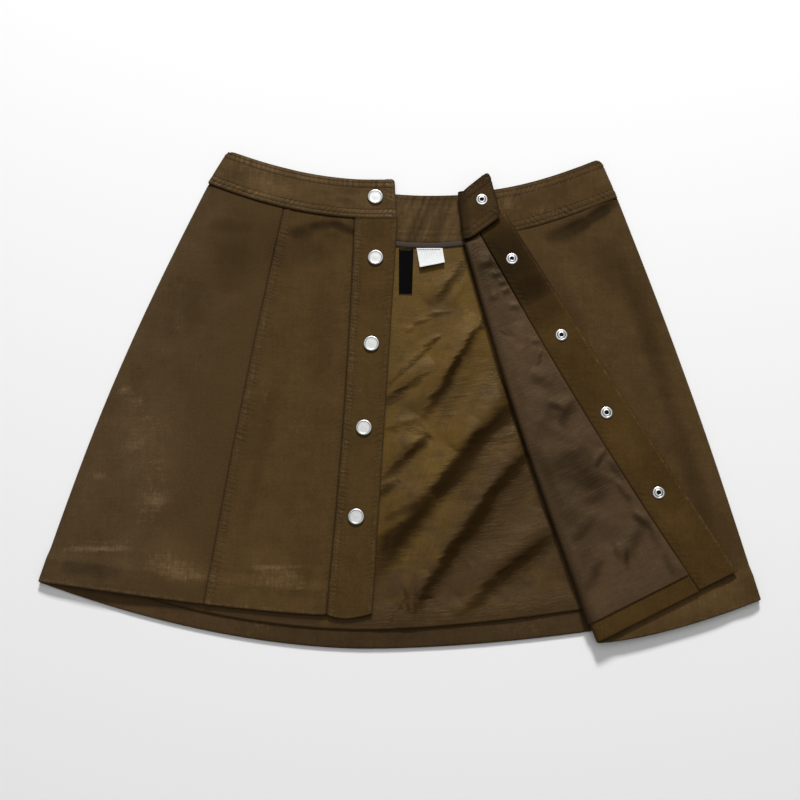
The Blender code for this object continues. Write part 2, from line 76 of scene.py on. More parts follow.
Array = np.ndarray
Object = bpy.types.Object
Node = bpy.types.Node
NodeTree = bpy.types.NodeTree
Source = bpy.types.NodeSocket

# ------------------------ layers, mm
SUEDE = 1.2             # room that one layer of suede takes
SUEDE_WALL = 1.1        # its own wall
LINING = 1.0            # room of one layer of lining
LINING_WALL = 0.4
BAND = 3.0
BAND_WALL = 2.8
PLACKET = 2.6
PLACKET_WALL = 2.4
LABEL = 1.0
LABEL_WALL = 0.5
GAP = 0.3
SEAM = 0.4
BAND_SEAM = 0.6
FOLD_SEAM = 2.0
FOLD_REACH = 3.6        # axis of the front's fold to its outline
BAND_FOLD_REACH = 4.7
PANEL_LENGTH = 388.0
BAND_HEIGHT = 41.0
BAND_LENGTH = 165.0     # of the right waistband, for where its rows of stitches turn the corner
TAB_LENGTH = 32.0       # of the left waistband's folded end
FLAP_WIDTH = 90.0       # of the folded panel
FLAP_LINING_WIDTH = 78.0
HEM = 20.0
LINING_SHORT = 16.0     # lining ends this far above the hem
LINING_INSET = 9.0
TAPE_WIDTH = 4.2
TAPE_INSET = 16.0

# ------------------------ heights of layers' middles, mm
BACK_MID = SUEDE / 2
LINING_MID = SUEDE + GAP + LINING - LINING_WALL / 2
LINING_HEM_MID = 2 * (SUEDE + GAP) + LINING - LINING_WALL / 2
LINING_TOP = SUEDE + GAP + LINING
LINING_HEM_BILLOW = 1.1     # the lining's loose lower edge stands up by this between the fronts
SIDE_MID = SUEDE + GAP + SUEDE / 2 - 0.2
SIDE_HEM_RISE = 2 * (SUEDE + GAP)
RIGHT_MID = 4.8
RIGHT_HEM_RISE = 2.1
RIGHT_HEM_GAPE = 2.6
LEFT_MID = 5.8
LEFT_FOLD_RISE = 1.1
LEFT_HEM_RISE = 1.7
VALLEY_DEPTH = 0.9
FLAP_MID = 8.5
FLAP_FOLD_RISE = 1.7
FLAP_HEM_RISE = 1.6
BAND_MID = 5.1
BAND_END_DROP = 0.3
PLACKET_MID = 5.5
PLACKET_HEM_RISE = 0.8
TAB_MID = 12.6

# ------------------------ reach of those heights
RIGHT_ROLL = 0.14
LEFT_ROLL = 0.078
GAPE_X = -262.0
GAPE_WIDTH = 46.0
GAPE_REACH = 70.0
VALLEY_AT = 0.84
VALLEY_WIDTH = 0.06
HEM_BLEND = 10.0
FOLD_COLUMNS = 13
HIDDEN_LINING_END = 0.25    # the folded lining ends this far into the hidden layer


# ------------------------ curves of the plan

@dataclass(frozen=True)
class Rail:
    """Seam or free edge from waist to hem: straight, plus a bulge towards +X at its middle."""

    top_x: float
    foot_x: float
    bulge: float = 0.0

    def x_at(self, fall: Array) -> Array:
        """X of the rail."""
        return self.top_x + (self.foot_x - self.top_x) * fall + self.bulge * np.sin(math.pi * fall)

    def moved(self, distance: float) -> "Rail":
        """The same rail moved along X."""
        return Rail(self.top_x + distance, self.foot_x + distance, self.bulge)


@dataclass(frozen=True)
class Edge:
    """Waist or hem edge, lowest at one point and rising to each side along a power curve."""

    low_x: float
    low_y: float
    left_span: float = 1.0
    left_rise: float = 0.0
    left_power: float = 1.0
    right_span: float = 1.0
    right_rise: float = 0.0
    right_power: float = 1.0

    def y_at(self, x: Array) -> Array:
        """Y of the edge."""
        left, right = np.maximum(self.low_x - x, 0.0), np.maximum(x - self.low_x, 0.0)
        return (self.low_y + self.left_rise * (left / self.left_span) ** self.left_power
                + self.right_rise * (right / self.right_span) ** self.right_power)

    def lowered(self, distance: float) -> "Edge":
        """The same edge moved towards the hem."""
        return replace(self, low_y=self.low_y - distance)


@dataclass(frozen=True)
class Line:
    """Straight stretch between two points of the plan."""

    x: float
    y: float
    end_x: float
    end_y: float

    def measure(self, x: Array, y: Array, power: float) -> tuple[Array, Array]:
        """Measures points along the line and beside it.

        Args:
            x: X of the points.
            y: Y of the points.
            power: How blunt the line's ends are, less than 1 for a long even middle.

        Returns:
            How far the line has faded at each point, from 1 at its middle to 0 past its ends, and
            millimetres to its left for someone who walks along it from its end.
        """
        run_x, run_y = self.end_x - self.x, self.end_y - self.y
        length = math.hypot(run_x, run_y)
        along = ((x - self.x) * run_x + (y - self.y) * run_y) / length ** 2
        fade = np.sin(math.pi * np.clip(along, 0.0, 1.0)) ** power
        return fade, ((x - self.x) * run_y - (y - self.y) * run_x) / length


@dataclass(frozen=True)
class Crease(Line):
    """Soft ridge along a line, or a trough where its height is negative.

    Its height falls to a third within `gentle` millimetres on one side and `steep` on the other.
    """

    height: float
    gentle: float
    steep: float

    def value_at(self, x: Array, y: Array) -> Array:
        """Millimetres of height that the crease adds."""
        fade, aside = self.measure(x, y, 0.7)
        return self.height * fade * np.exp(-(aside / np.where(aside > 0.0, self.gentle, self.steep)) ** 2)


@dataclass(frozen=True)
class Flank(Line):
    """Band that stays dark, such as the side of a fold that faces away from the light."""

    half_width: float
    strength: float

    def value_at(self, x: Array, y: Array) -> Array:
        """How dark the band is: its strength at the middle, falling to 0 past its sides and ends."""
        fade, aside = self.measure(x, y, 0.45)
        return self.strength * fade * np.exp(-(np.abs(aside) / (self.half_width * (0.45 + 0.55 * fade))) ** 3)


@dataclass(frozen=True)
class Spot:
    """Place of a snap, of a rubbed patch, or of a patch of painted shade, on the plan."""

    x: float
    y: float
    size_x: float = 8.0
    size_y: float = 8.0
    strength: float = 1.0
    surface: float = 0.0

    def value_at(self, x: Array, y: Array) -> Array:
        """Soft oval mask, its strength at the middle."""
        away = ((x - self.x) / self.size_x) ** 2 + ((y - self.y) / self.size_y) ** 2
        return self.strength * np.exp(-away)


def relief(x: Array, y: Array, rows: Sequence["Crease | Flank | Spot"]) -> Array:
    """What a whole table of creases, bands or spots adds at each point."""
    return sum((row.value_at(x, y) for row in rows), np.zeros_like(x))


def marked(x: Array, y: Array, rows: Sequence["Flank | Spot"], lowest: float = 0.0) -> Array:
    """Mask of a whole table of bands and spots, from the lowest value that is let through to 1."""
    return np.clip(relief(x, y, rows), lowest, 1.0)


@dataclass(frozen=True)
class SkirtPlan:
    """Rails and edges of the skirt seen from above, the same as in the part's source."""

    right_side: Rail = Rail(-187.0, -325.5, -9.5)
    right_seam: Rail = Rail(-113.0, -176.0, -2.5)
    right_placket_seam: Rail = Rail(-44.0, -66.0, 3.0)
    right_placket_edge: Rail = Rail(-2.5, -25.0)
    left_side: Rail = Rail(211.0, 323.5, 4.5)
    left_seam: Rail = Rail(111.0, 182.0)
    fold: Rail = Rail(61.5, 174.0, -5.5)
    left_placket_seam: Rail = Rail(76.5, 267.0, -4.5)
    left_placket_edge: Rail = Rail(102.0, 303.0, -1.0)
    right_band_side: Rail = Rail(-169.0, -187.0)
    right_band_end: Rail = Rail(-6.0, -3.5)
    left_band_side: Rail = Rail(196.0, 211.0)
    band_fold: Rail = Rail(56.5, 61.5)
    tab_end: Rail = Rail(86.0, 97.0)
    back_band_top: Edge = Edge(29.0, 195.0, 198.0, 46.5, 1.9, 167.0, 37.0, 2.2)
    back_waist: Edge = Edge(29.0, 145.5, 216.0, 62.0, 1.9, 182.0, 48.5, 1.7)
    back_hem: Edge = Edge(-30.0, -239.2, 295.5, 59.2, 1.8, 353.5, 42.7, 1.8)
    back_lining_hem: Edge = Edge(-30.0, -224.2, 286.5, 57.0, 1.9, 344.5, 45.8, 1.6)
    right_band_top: Edge = Edge(-30.0, 210.0, 139.0, 31.5, 1.8, 30.0, 0.5, 1.0)
    right_waist: Edge = Edge(-25.0, 170.5, 162.0, 37.0, 1.9, 25.0, 0.0, 1.0)
    right_hem: Edge = Edge(-70.0, -210.0, 255.5, 30.0, 1.3, 60.0, 0.0, 1.0)
    left_band_top: Edge = Edge(57.0, 196.0, 10.0, 0.0, 1.0, 139.0, 36.5, 1.7)
    left_hem: Edge = Edge(174.0, -235.0, 10.0, 0.0, 1.0, 149.5, 38.5, 1.5)
    flap_waist: Edge = Edge(64.0, 141.5, 10.0, 0.0, 1.0, 38.0, 32.5, 1.0)
    flap_hem: Edge = Edge(174.0, -235.5, 10.0, 0.0, 1.0, 129.0, 63.0, 1.0)
    tab_top: Edge = Edge(57.0, 191.5, 10.0, 0.0, 1.0, 29.0, 24.5, 1.0)
    tab_foot: Edge = Edge(62.0, 142.5, 10.0, 0.0, 1.0, 35.0, 25.5, 1.0)


PLAN = SkirtPlan()

# ------------------------ creases, mm

def creases(*rows: Sequence[float]) -> tuple[Crease, ...]:
    """Creases from rows of x, y, end x, end y, height, gentle side and steep side."""
    return tuple(Crease(*row) for row in rows)


def marks(*rows: Sequence[float]) -> tuple["Flank | Spot", ...]:
    """Bands from rows of x, y, end x, end y, half width and strength, and spots from shorter rows."""
    return tuple(Flank(*row) if len(row) == 6 else Spot(*row) for row in rows)


BACK_FOLDS = creases(
    (103, 4, 51, -60, 7, 18, 11), (74, -34, -30, -168, 7, 19, 12), (120, -36, 3, -206, 6.8, 15, 11),
    (76, 70, 16, -24, 5.4, 14, 9), (66, 136, 26, 84, 3.4, 11, 6.5), (142, -122, 54, -196, 4.8, 15, 10),
    (30, 26, -18, -6, 2.6, 10, 6.5), (27, -38, -20, -76, 2.8, 11, 7), (24, -172, 2, -226, 2.2, 10, 7))
BACK_CREASES = creases(
    (66, 113, 48, 82, 1.2, 6, 4), (46, 81, 36, 79, -0.6, 2.5, 2.5), (39, 75, 26, 74, 0.7, 3.5, 2.2),
    (26, 69, 12, 65, 0.8, 3.5, 2.5), (15, 61, 5, 56, 0.7, 3, 2.2), (46, 60, -13, 1, 0.9, 5, 1.9),
    (38, 52, 22, 41, 0.7, 3.5, 2), (2, -6, -14, -17, 1, 5, 3), (19, -30, -13, -35, 1.3, 5, 3.5),
    (12, -31, 30, -55, -1.2, 4, 4), (24, -50, 3, -58, 1.5, 6, 4.5), (114, -35, 94, -51, 0.8, 4, 2.5),
    (-5, -88, -22, -105, 1.5, 5, 4), (80, -190, 48, -210, 1.7, 7, 5.5),
    (0, -201, -17, -225, -1.1, 2.6, 2.4), (3, -185, 9, -218, -1, 2.4, 2.2),
    (14, -184, 13, -218, -0.9, 2.4, 2.4), (5, -194, 34, -197, -0.8, 2.6, 2.4),
    (57, -156, 67, -170, 0.5, 2.5, 2), (108, -173, 119, -184, 0.5, 2.5, 2),
    (120, -112, 138, -113, -0.6, 2.5, 2.5), (93, -186, 97, -198, 0.5, 2.5, 2), (74, 30, 40, -24, 0.6, 9, 6),
    (88, -60, 42, -124, 0.5, 8, 6), (150, -150, 118, -205, 0.7, 10, 8), (62, -190, 40, -224, 0.7, 6, 5))
# Painted shade on the back lining: fold sides that face away from the light, and creases
BACK_FLANKS = marks(
    (118, -20, 46, -106, 15, 0.35), (130, -62, 46, -172, 14, 0.35), (84, 50, 36, -34, 9, 0.35),
    (117, -8, 67, -57, 8, 1), (81, -42, 33, -105, 10.6, 1), (50, -78, -34, -188, 10, 1),
    (98, 26, 74, -16, 10, 0.4), (134, -126, 86, -176, 15, 0.3), (18, -110, -14, -124, 4.5, 0.7),
    (4, -128, -26, -156, 7, 0.6), (126, -52, 76, -112, 7, 1), (90, -95, 38, -168, 8, 1),
    (52, -147, 12, -212, 6.2, 0.95), (84, 76, 48, 12, 3.6, 0.9), (60, 32, 22, -29, 5, 1),
    (67, 134, 36, 86, 4.5, 0.8), (147, -136, 90, -180, 7, 0.95), (104, -168, 54, -210, 6.2, 0.9),
    (29, 17, -4, -6, 3, 0.7), (8, 0, -22, -18, 4.4, 0.9), (-14, -37, 2, -41, 2.5, 0.5),
    (4, -35, 26, -47, 3, 0.65), (28, -45, 4, -68, 4.6, 0.9), (14, -62, -18, -86, 4.4, 0.95),
    (0, -87, -26, -107, 5, 0.9), (40, 54, -12, 1, 1.6, 0.6), (48, 76, 22, 72, 2, 0.5),
    (27, 69, 12, 63, 1.8, 0.5), (38, 52, 22, 40, 1.8, 0.5), (2, -201, -17, -226, 2.2, 0.7),
    (3, -186, 9, -219, 2, 0.6), (14, -184, 13, -219, 1.6, 0.4), (5, -195, 36, -198, 2, 0.4))
FLAP_CREASES = creases(
    (84, 118, 100, 60, 1.2, 9, 8), (112, 64, 120, 2, 1.1, 10, 8), (134, 4, 128, -50, 1.3, 9, 9),
    (150, -30, 176, -96, 1.2, 11, 9), (150, -112, 206, -138, 1.2, 10, 9), (188, -148, 226, -170, 1, 9, 8),
    (94, 126, 70, 120, 1.5, 6, 5), (101, 114, 88, 110, 0.9, 3.5, 3), (104, 106, 93, 102, 1, 3, 3),
    (107, 98, 96, 93, 1, 3, 3), (116, 82, 102, 78, 0.7, 3, 2.5), (92, 56, 109, 47, -0.9, 3, 2.4),
    (136, 47, 122, 43, 0.7, 3, 2.5), (134, 41, 127, 18, -1, 2.6, 2.2), (143, 3, 121, 13, 1, 7, 5),
    (160, -9, 146, -33, 1, 6, 4), (153, -20, 137, -15, 0.8, 4, 3), (94, 90, 82, 84, 0.7, 4, 3),
    (191, -58, 178, -76, 0.9, 3.5, 2.5), (205, -84, 190, -68, 1, 3, 3.5), (211, -107, 198, -91, 1, 3, 3.5),
    (170, -58, 140, -66, 0.8, 7, 6), (190, -100, 160, -108, 0.9, 8, 5), (160, -44, 178, -70, 0.7, 5, 3),
    (128, -28, 150, -50, 0.7, 6, 4), (208, -96, 184, -84, 0.8, 4, 3), (146, -88, 166, -96, -0.7, 4, 3),
    (176, -122, 157, -143, 1, 6, 5), (228, -130, 212, -118, 1.1, 3, 3.5), (216, -128, 200, -162, 1.3, 7, 5),
    (191, -146, 197, -165, -0.6, 2.5, 2.5), (205, -150, 204, -175, -0.7, 2.6, 2.6),
    (237, -157, 246, -179, -0.9, 3, 3), (181, -158, 165, -190, 0.8, 6, 5),
    (224, -132, 235, -152, -0.8, 3, 3))
# Painted shade on the flap's lining: the tab's shadow at its top, fold sides, creases and dents
FLAP_FLANKS = marks(
    (64, 144, 94, 88, 17, 0.8), (74, 112, 97, 122, 6, 0.7), (145, -22, 12, 14, 0.5),
    (150, -76, 18, 15, 0.75), (176, -94, 18, 17, 0.8), (151, -122, 12, 12, 0.5), (119, -72, 7, 22, 0.5),
    (150, -30, 182, -104, 11, 0.25), (166, -136, 172, -182, 10, 0.3), (88, 106, 101, 113, 2.5, 0.6),
    (93, 98, 104, 104, 2.5, 0.6), (97, 89, 107, 97, 2.5, 0.6), (82, 82, 96, 90, 3, 0.4),
    (103, 75, 117, 80, 1.8, 0.4), (91, 56, 109, 46, 1.8, 0.6), (123, 42, 136, 44, 1.8, 0.4),
    (127, 17, 136, 41, 2, 0.7), (121, 11, 144, -3, 6, 0.45), (148, -40, 164, -12, 6, 0.6),
    (136, -17, 154, -25, 2.5, 0.4), (178, -78, 190, -58, 2.5, 0.6), (189, -68, 206, -90, 3, 0.6),
    (198, -91, 212, -113, 3, 0.5), (155, -148, 176, -122, 5, 0.5), (210, -118, 228, -136, 3.5, 0.8),
    (200, -166, 219, -127, 8, 0.45), (224, -132, 236, -154, 3, 0.5), (236, -157, 247, -180, 3.5, 0.6),
    (192, -146, 198, -166, 1.8, 0.5), (205, -150, 204, -176, 2, 0.5), (164, -192, 183, -156, 5, 0.4),
    (100, 30, 116, -40, 7, 0.4), (122, -50, 146, -120, 6, 0.5))
RIGHT_CREASES = creases(
    (-104, 155, -66, 165, -1.2, 6, 6), (-76, 167, -42, 154, -1.4, 5, 5), (-86, 156, -50, 158, 0.9, 6, 4),
    (-112, 144, -44, 150, 0.8, 12, 10), (-180, 60, -250, -120, 1.2, 32, 26),
    (-90, 90, -110, -150, 0.8, 26, 26), (-150, 168, -172, 178, -0.6, 6, 6),
    (-196, 20, -208, -90, -0.5, 16, 14), (-230, 30, -262, -60, -0.5, 14, 12),
    (-120, -60, -140, -180, 0.5, 16, 14), (-282, -120, -232, -168, 0.6, 16, 12),
    (-70, 60, -76, -60, -0.4, 12, 12))
RIGHT_BAND_CREASES = creases(
    (-60, 196, -40, 188, 0.7, 4, 2.5), (-52, 200, -36, 195, -0.6, 3, 3), (-66, 188, -44, 184, -0.5, 4, 3),
    (-120, 196, -92, 192, 0.5, 6, 5), (-150, 204, -136, 196, -0.4, 6, 6))
LEFT_CREASES = creases(
    (144, 150, 180, 166, -1.4, 5, 5), (182, 168, 213, 189, -1.3, 4.5, 4.5),
    (150, 144, 214, 150, 0.8, 12, 10), (190, 60, 280, -130, 0.7, 26, 26), (134, 140, 158, 152, -0.4, 7, 6),
    (196, 120, 222, 40, -0.5, 14, 12), (238, 30, 262, -70, 0.5, 14, 12),
    (268, -110, 300, -170, -0.5, 12, 12), (150, 96, 190, 20, -0.4, 16, 14))
FACING_CREASES = creases(
    (150, 44, 184, 31, -0.5, 7, 5), (118, 108, 138, 84, -0.5, 9, 8), (196, -52, 226, -62, -0.4, 8, 7),
    (236, -124, 262, -150, 0.4, 9, 9))

# ------------------------ snaps, labels, rubbed places, painted shade and light, mm
CAP_RADIUS = 7.5
STUD_RADIUS = 5.8
SNAP_SUNK = 0.15        # how far a snap's rim goes into the suede
STITCH_PITCH = 3.1
LABEL_PITCH = 2.2
LABEL_SEWN = 1.6        # a label's stitches lie this far under its top
LABEL_INSET = 1.0
CAPS = (Spot(-24.0, 192.0, surface=BAND_MID + BAND / 2),
        *(Spot(x, y, surface=PLACKET_MID + PLACKET / 2)
          for x, y in ((-23.5, 129.0), (-27.0, 42.5), (-33.5, -39.0), (-40.0, -122.5))))
STUDS = (Spot(79.0, 186.0, surface=TAB_MID + BAND / 2),
         *(Spot(x, y, surface=FLAP_MID + PLACKET - SUEDE / 2)
           for x, y in ((107.0, 126.5), (152.0, 50.0), (191.5, -25.5), (236.0, -101.0))))
SNAP_MARKS = marks(  # faint rings that the studs' backs have pressed into the right front
    (-76, 134, 8, 8, 0.35), (-89.5, 39.5, 8, 8, 0.2), (-86.5, -39, 8, 8, 0.15), (-99.5, -119, 8, 8, 0.25))
RUBBED = marks(  # where the nap is worn pale
    (-312, -152, -242, -152, 2.4, 0.8), (-304, -147, -236, -148, 8, 0.35),
    (-234, -158, -172, -178, 12, 0.5), (-146, -168, -76, -168, 2.2, 0.6), (-140, -174, -80, -180, 9, 0.5),
    (-222, -60, -238, -150, 14, 0.3), (-257, -2, 8, 5, 0.8), (-246, -12, 10, 3, 0.45),
    (-277, -83, 8, 6, 0.7), (-221, -107, 10, 7, 0.6), (-250, -58, 9, 14, 0.35), (-231, -40, 20, 30, 0.35),
    (-208, 56, 12, 9, 0.3), (-88, 37, 12, 9, 0.3), (-93, -41, 16, 11, 0.35), (-127, -8, 16, 22, 0.25),
    (294, -180, 12, 14, 0.4), (257, -198, 26, 8, 0.35), (196, 20, 14, 20, 0.2))
RIGHT_SHADES = marks(  # partly the nap's own tone, partly painted shade, and painted light if negative
    (-186, 165, -142, 160, 8, 0.35), (-108, 154, -66, 164, 7, 0.55), (-88, 162, -54, 165, 5, 0.6),
    (-68, 166, -40, 154, 4.6, 0.9), (-76, 158, -44, 150, 8, 0.35), (-110, 158, -84, 150, 7, 0.4),
    (-190, 152, -60, 136, 30, 0.25), (-214, 110, -204, 40, 22, 0.2), (-270, -60, -300, -150, 12, -0.2),
    (-150, -196, -76, -204, 8, -0.35), (-160, 152, -162, 92, 20, 0.4), (-130, 140, -60, 132, 14, 0.25),
    (-196, 112, -190, 60, 14, 0.25), (-306, -168, -250, -174, 7, 0.5), (-112, 20, -142, -140, 6, 0.2),
    (-70, 100, -76, 20, 10, 0.15), (-238, 0, -228, -120, 30, -0.3), (-228, -140, -176, -182, 18, -0.4),
    (-140, -150, -90, -184, 14, -0.3))
# Painted shade on the waistbands and the placket, painted light where negative
RIGHT_BAND_SHADES = marks(
    (-176, 218, -148, 212, 10, 0.45), (-150, 206, -104, 194, 9, -0.55), (-106, 192, -60, 186, 8, 0.1),
    (-62, 200, -38, 193, 4, 0.5), (-58, 186, -34, 180, 4, 0.4), (-40, 200, -8, 192, 14, 0.15))
LEFT_BAND_SHADES = marks(
    (112, 176, 134, 190, 8, 0.2), (184, 206, 204, 216, 10, -0.15))
PLACKET_SHADES = marks(
    (-22, 170, -24, 144, 12, 0.35), (-24, 116, -23, 96, 12, -0.3), (-22, 40, -28, 0, 8, -0.2),
    (-34, -20, -38, -60, 14, 0.15))
LEFT_SHADES = marks(
    (140, 147, 184, 166, 9, 1), (182, 168, 213, 190, 6, 1), (162, 157, 204, 180, 6.5, 0.8),
    (192, -216, 312, -192, 13, -0.5), (262, 60, 282, -20, 8, -0.2), (196, 150, 208, 84, 14, 0.3),
    (212, 130, 252, -12, 9, 0.5), (246, 0, 286, -150, 9, 0.5), (160, 128, 186, 60, 16, -0.25),
    (150, 106, 176, 44, 8, 0.2), (252, -190, 306, -176, 16, -0.3))
# Painted shadow of the tab on the facing's top, with painted shade and light below it
FACING_SHADES = marks(
    (84, 168, 132, 84, 26, 1), (120, 108, 146, 56, 20, 0.45), (150, 44, 196, -40, 14, 0.2),
    (196, -30, 216, -80, 16, -0.25), (236, -110, 262, -150, 16, -0.15))


@dataclass(frozen=True)
class LabelCut:
    """Small label that hangs from the tape, its foot rising to the right and curling up."""

    top_left: float
    top_right: float
    top_y: float
    foot_left: float
    foot_right: float
    foot_y: float
    foot_rise: float
    curl: float


WOVEN_LABEL = LabelCut(-1.0, 13.0, 139.8, -1.0, 11.5, 94.0, 0.0, 0.0)
CARE_LABEL = LabelCut(16.0, 41.0, 140.2, 19.0, 43.0, 119.5, 5.0, 3.0)


# ------------------------ soft steps and noise

def ramp(value: Array, start: float, end: float) -> Array:
    """Straight step."""
    return np.clip((value - start) / (end - start), 0.0, 1.0)


def soft(value: Array, start: float, end: float) -> Array:
    """Rounded step."""
    step = ramp(value, start, end)
    return step * step * (3.0 - 2.0 * step)


def bump_at(value: Array, place: float, width: float) -> Array:
    """Round bump of height 1."""
    return np.exp(-((value - place) / width) ** 2)


def fading(distance: Array, reach: float) -> Array:
    """1 on an edge, falling to a third at the reach."""
    return np.exp(-(distance / reach) ** 2)


def uneven(x: Array, y: Array, size_x: float, size_y: float, seed: int) -> Array:
    """Smooth seeded unevenness.

    Args:
        x: First coordinate of the points.
        y: Second coordinate.
        size_x: Length of one swell along the first coordinate.
        size_y: Length of one swell along the second.
        seed: Seed of the table of swells.

    Returns:
        Values from -1 to 1.
    """
    table = np.random.default_rng(seed).uniform(-1.0, 1.0, (97, 97))
    u, v = x / size_x, y / size_y
    column, row = np.floor(u).astype(int), np.floor(v).astype(int)
    blend_u, blend_v = (part * part * (3.0 - 2.0 * part) for part in (u - column, v - row))
    near = table[row % 97, column % 97] * (1 - blend_u) + table[row % 97, (column + 1) % 97] * blend_u
    far = (table[(row + 1) % 97, column % 97] * (1 - blend_u)
           + table[(row + 1) % 97, (column + 1) % 97] * blend_u)
    return near * (1 - blend_v) + far * blend_v


def fractions(length: float, cell: float, fine: float, reach: float) -> Array:
    """Fractions along a length, closer together near both its ends.

    Args:
        length: Millimetres in all.
        cell: Spacing in the middle.
        fine: Spacing near the ends.
        reach: How far from each end it is fine.

    Returns:
        Rising fractions from 0 to 1.
    """
    end = np.arange(0.0, reach - fine / 2, fine)
    count = max(2, round((length - 2 * reach) / cell) + 1)
    middle = np.linspace(reach, length - reach, count)
    return np.concatenate((end, middle, length - end[::-1])) / length


# ------------------------ plans of the cut pieces

@dataclass(frozen=True)
class Place:
    """Plan points of one cut piece, with where each one is on the piece."""

    x: Array
    y: Array
    share: Array
    fall: Array
    from_left: Array
    from_right: Array

    @property
    def drop(self) -> Array:
        """Millimetres below the waist of a full-length panel."""
        return self.fall * PANEL_LENGTH

    @property
    def above_hem(self) -> Array:
        """Millimetres above the hem of a full-length panel."""
        return (1.0 - self.fall) * PANEL_LENGTH

    def at(self, height: Array) -> Array:
        """Points of the piece."""
        return np.stack((self.x, self.y, height + np.zeros_like(self.x)), axis=-1)


@dataclass(frozen=True)
class Cut:
    """A cut piece between two rails and two edges."""

    left: Rail
    right: Rail
    top: Edge
    foot: Edge
    corners: tuple[float, float, float, float] = (0.0, 0.0, 0.0, 0.0)   # two above, two below

    def _rounded(self, share: Array, fall: Array) -> Array:
        """Shares of the width that keep inside the rounded corners of a waistband.

        Args:
            share: Shares of the whole width.
            fall: Fractions of the way down.

        Returns:
            Shares that begin and end on the rounded outline.
        """
        down = fall * BAND_HEIGHT
        sides = []
        for upper, lower in (self.corners[0::2], self.corners[1::2]):
            inset = np.zeros_like(share)
            for radius, distance in ((upper, down), (lower, BAND_HEIGHT - down)):
                inset = inset + radius - np.sqrt(radius ** 2 - np.maximum(radius - distance, 0.0) ** 2)
            sides.append(inset / self.width(fall))
        return share + (1.0 - share) * sides[0] - share * sides[1]

    def where(self, share: Array, fall: Array) -> Place:
        """Plan points for given shares of the width and fractions down.

        Args:
            share: Shares of the way from the left rail to the right one.
            fall: Fractions of the way from the top edge to the foot.

        Returns:
            The places, one for each pair.
        """
        if any(self.corners):
            share = self._rounded(share, fall)
        top_x = self.left.top_x + (self.right.top_x - self.left.top_x) * share
        foot_x = self.left.foot_x + (self.right.foot_x - self.left.foot_x) * share
        bulge = self.left.bulge + (self.right.bulge - self.left.bulge) * share
        x = top_x + (foot_x - top_x) * fall + bulge * np.sin(math.pi * fall)
        y = self.top.y_at(top_x) * (1.0 - fall) + self.foot.y_at(foot_x) * fall
        return Place(x, y, share, fall, x - self.left.x_at(fall), self.right.x_at(fall) - x)

    def grid(self, across: Array, down: Array) -> Place:
        """Plan points on a grid."""
        return self.where(*np.meshgrid(np.asarray(across, float), np.asarray(down, float)))

    def meshed(self, level: float, across: Sequence[float], length: float, down: Sequence[float]) -> Place:
        """Grid from a spacing, a fine spacing near the edges and its reach, across and down."""
        return self.grid(fractions(float(self.width(np.array(level))), *across), fractions(length, *down))

    def width(self, fall: Array) -> Array:
        """Width at each fraction down."""
        return self.right.x_at(fall) - self.left.x_at(fall)

    def line(self, share: Array, fall: Array) -> Array:
        """Points (x, y) of a line through the given shares and fractions down."""
        place = self.where(share, fall)
        return np.stack((place.x, place.y), axis=-1)

    def seam_line(self, distance: float, start: float = 0.0, end: float = 1.0) -> Array:
        """Line down the piece, millimetres inside its left rail, or inside the right one if negative."""
        fall = np.linspace(start, end, 60)
        return self.line((0.0 if distance > 0.0 else 1.0) + distance / self.width(fall), fall)

    def edge_line(self, fall: float, start: float = 0.0, end: float = 1.0) -> Array:
        """Line across the piece at a fraction down, from one share of the width to another."""
        share = np.linspace(start, end, 60)
        return self.line(share, np.full_like(share, fall))


# ------------------------ grids of points

def grid_normals(points: Array) -> Array:
    """Unit normals of a grid, towards +Z where it lies flat."""
    normal = np.cross(np.gradient(points, axis=0), np.gradient(points, axis=1))
    return normal / np.maximum(np.linalg.norm(normal, axis=-1, keepdims=True), 1e-9)


def turned_up(points: Array, inside: float, rows: int) -> Array:
    """Adds the hem allowance, which turns round the last row and lies on the rows above it.

    Args:
        points: Rows of points from waist to hem.
        inside: 1 if the garment's inside is on the grid's normal side, otherwise -1.
        rows: How many rows above the hem the allowance covers.

    Returns:
        The rows with those of the allowance after them.
    """
    normal = grid_normals(points) * inside
    radius = (SUEDE + GAP) / 2
    outward = points[-1] - points[-2]
    outward /= np.linalg.norm(outward, axis=-1, keepdims=True)
    turned = list(points)
    for angle in np.linspace(0.0, math.pi, 8)[1:]:
        rise = radius * (1.0 - math.cos(angle))
        turned.append(points[-1] + outward * radius * math.sin(angle) + normal[-1] * rise)
    turned.extend(points[-row] + normal[-row] * 2 * radius for row in range(2, rows + 2))
    return np.array(turned)


def folded_grid(lower: Array, upper: Array) -> Array:
    """Joins a lower and an upper layer by a half round at their left.

    Args:
        lower: Grid of the lower layer, its first column at the half round's axis.
        upper: Grid of the upper layer, its first column there too.

    Returns:
        One grid, from the lower layer's far column round the fold to the upper layer's.
    """
    low, high = lower[:, 0], upper[:, 0]
    radius = (high[:, 2] - low[:, 2]) / 2
    round_it = []
    for angle in np.linspace(0.0, math.pi, FOLD_COLUMNS + 2)[1:-1]:
        blend = (1.0 - math.cos(angle)) / 2
        column = low * (1.0 - blend) + high * blend
        column[:, 0] -= radius * math.sin(angle)
        round_it.append(column)
    return np.concatenate((lower[:, ::-1], np.stack(round_it, axis=1), upper), axis=1)


def folded_mask(lower: Array, upper: Array) -> Array:
    """Mask of a folded grid, which keeps the upper layer's value round the fold."""
    bend = np.repeat(upper[:, :1], FOLD_COLUMNS, axis=1)
    return np.concatenate((lower[:, ::-1], bend, upper), axis=1)


# ------------------------ heights of the fronts

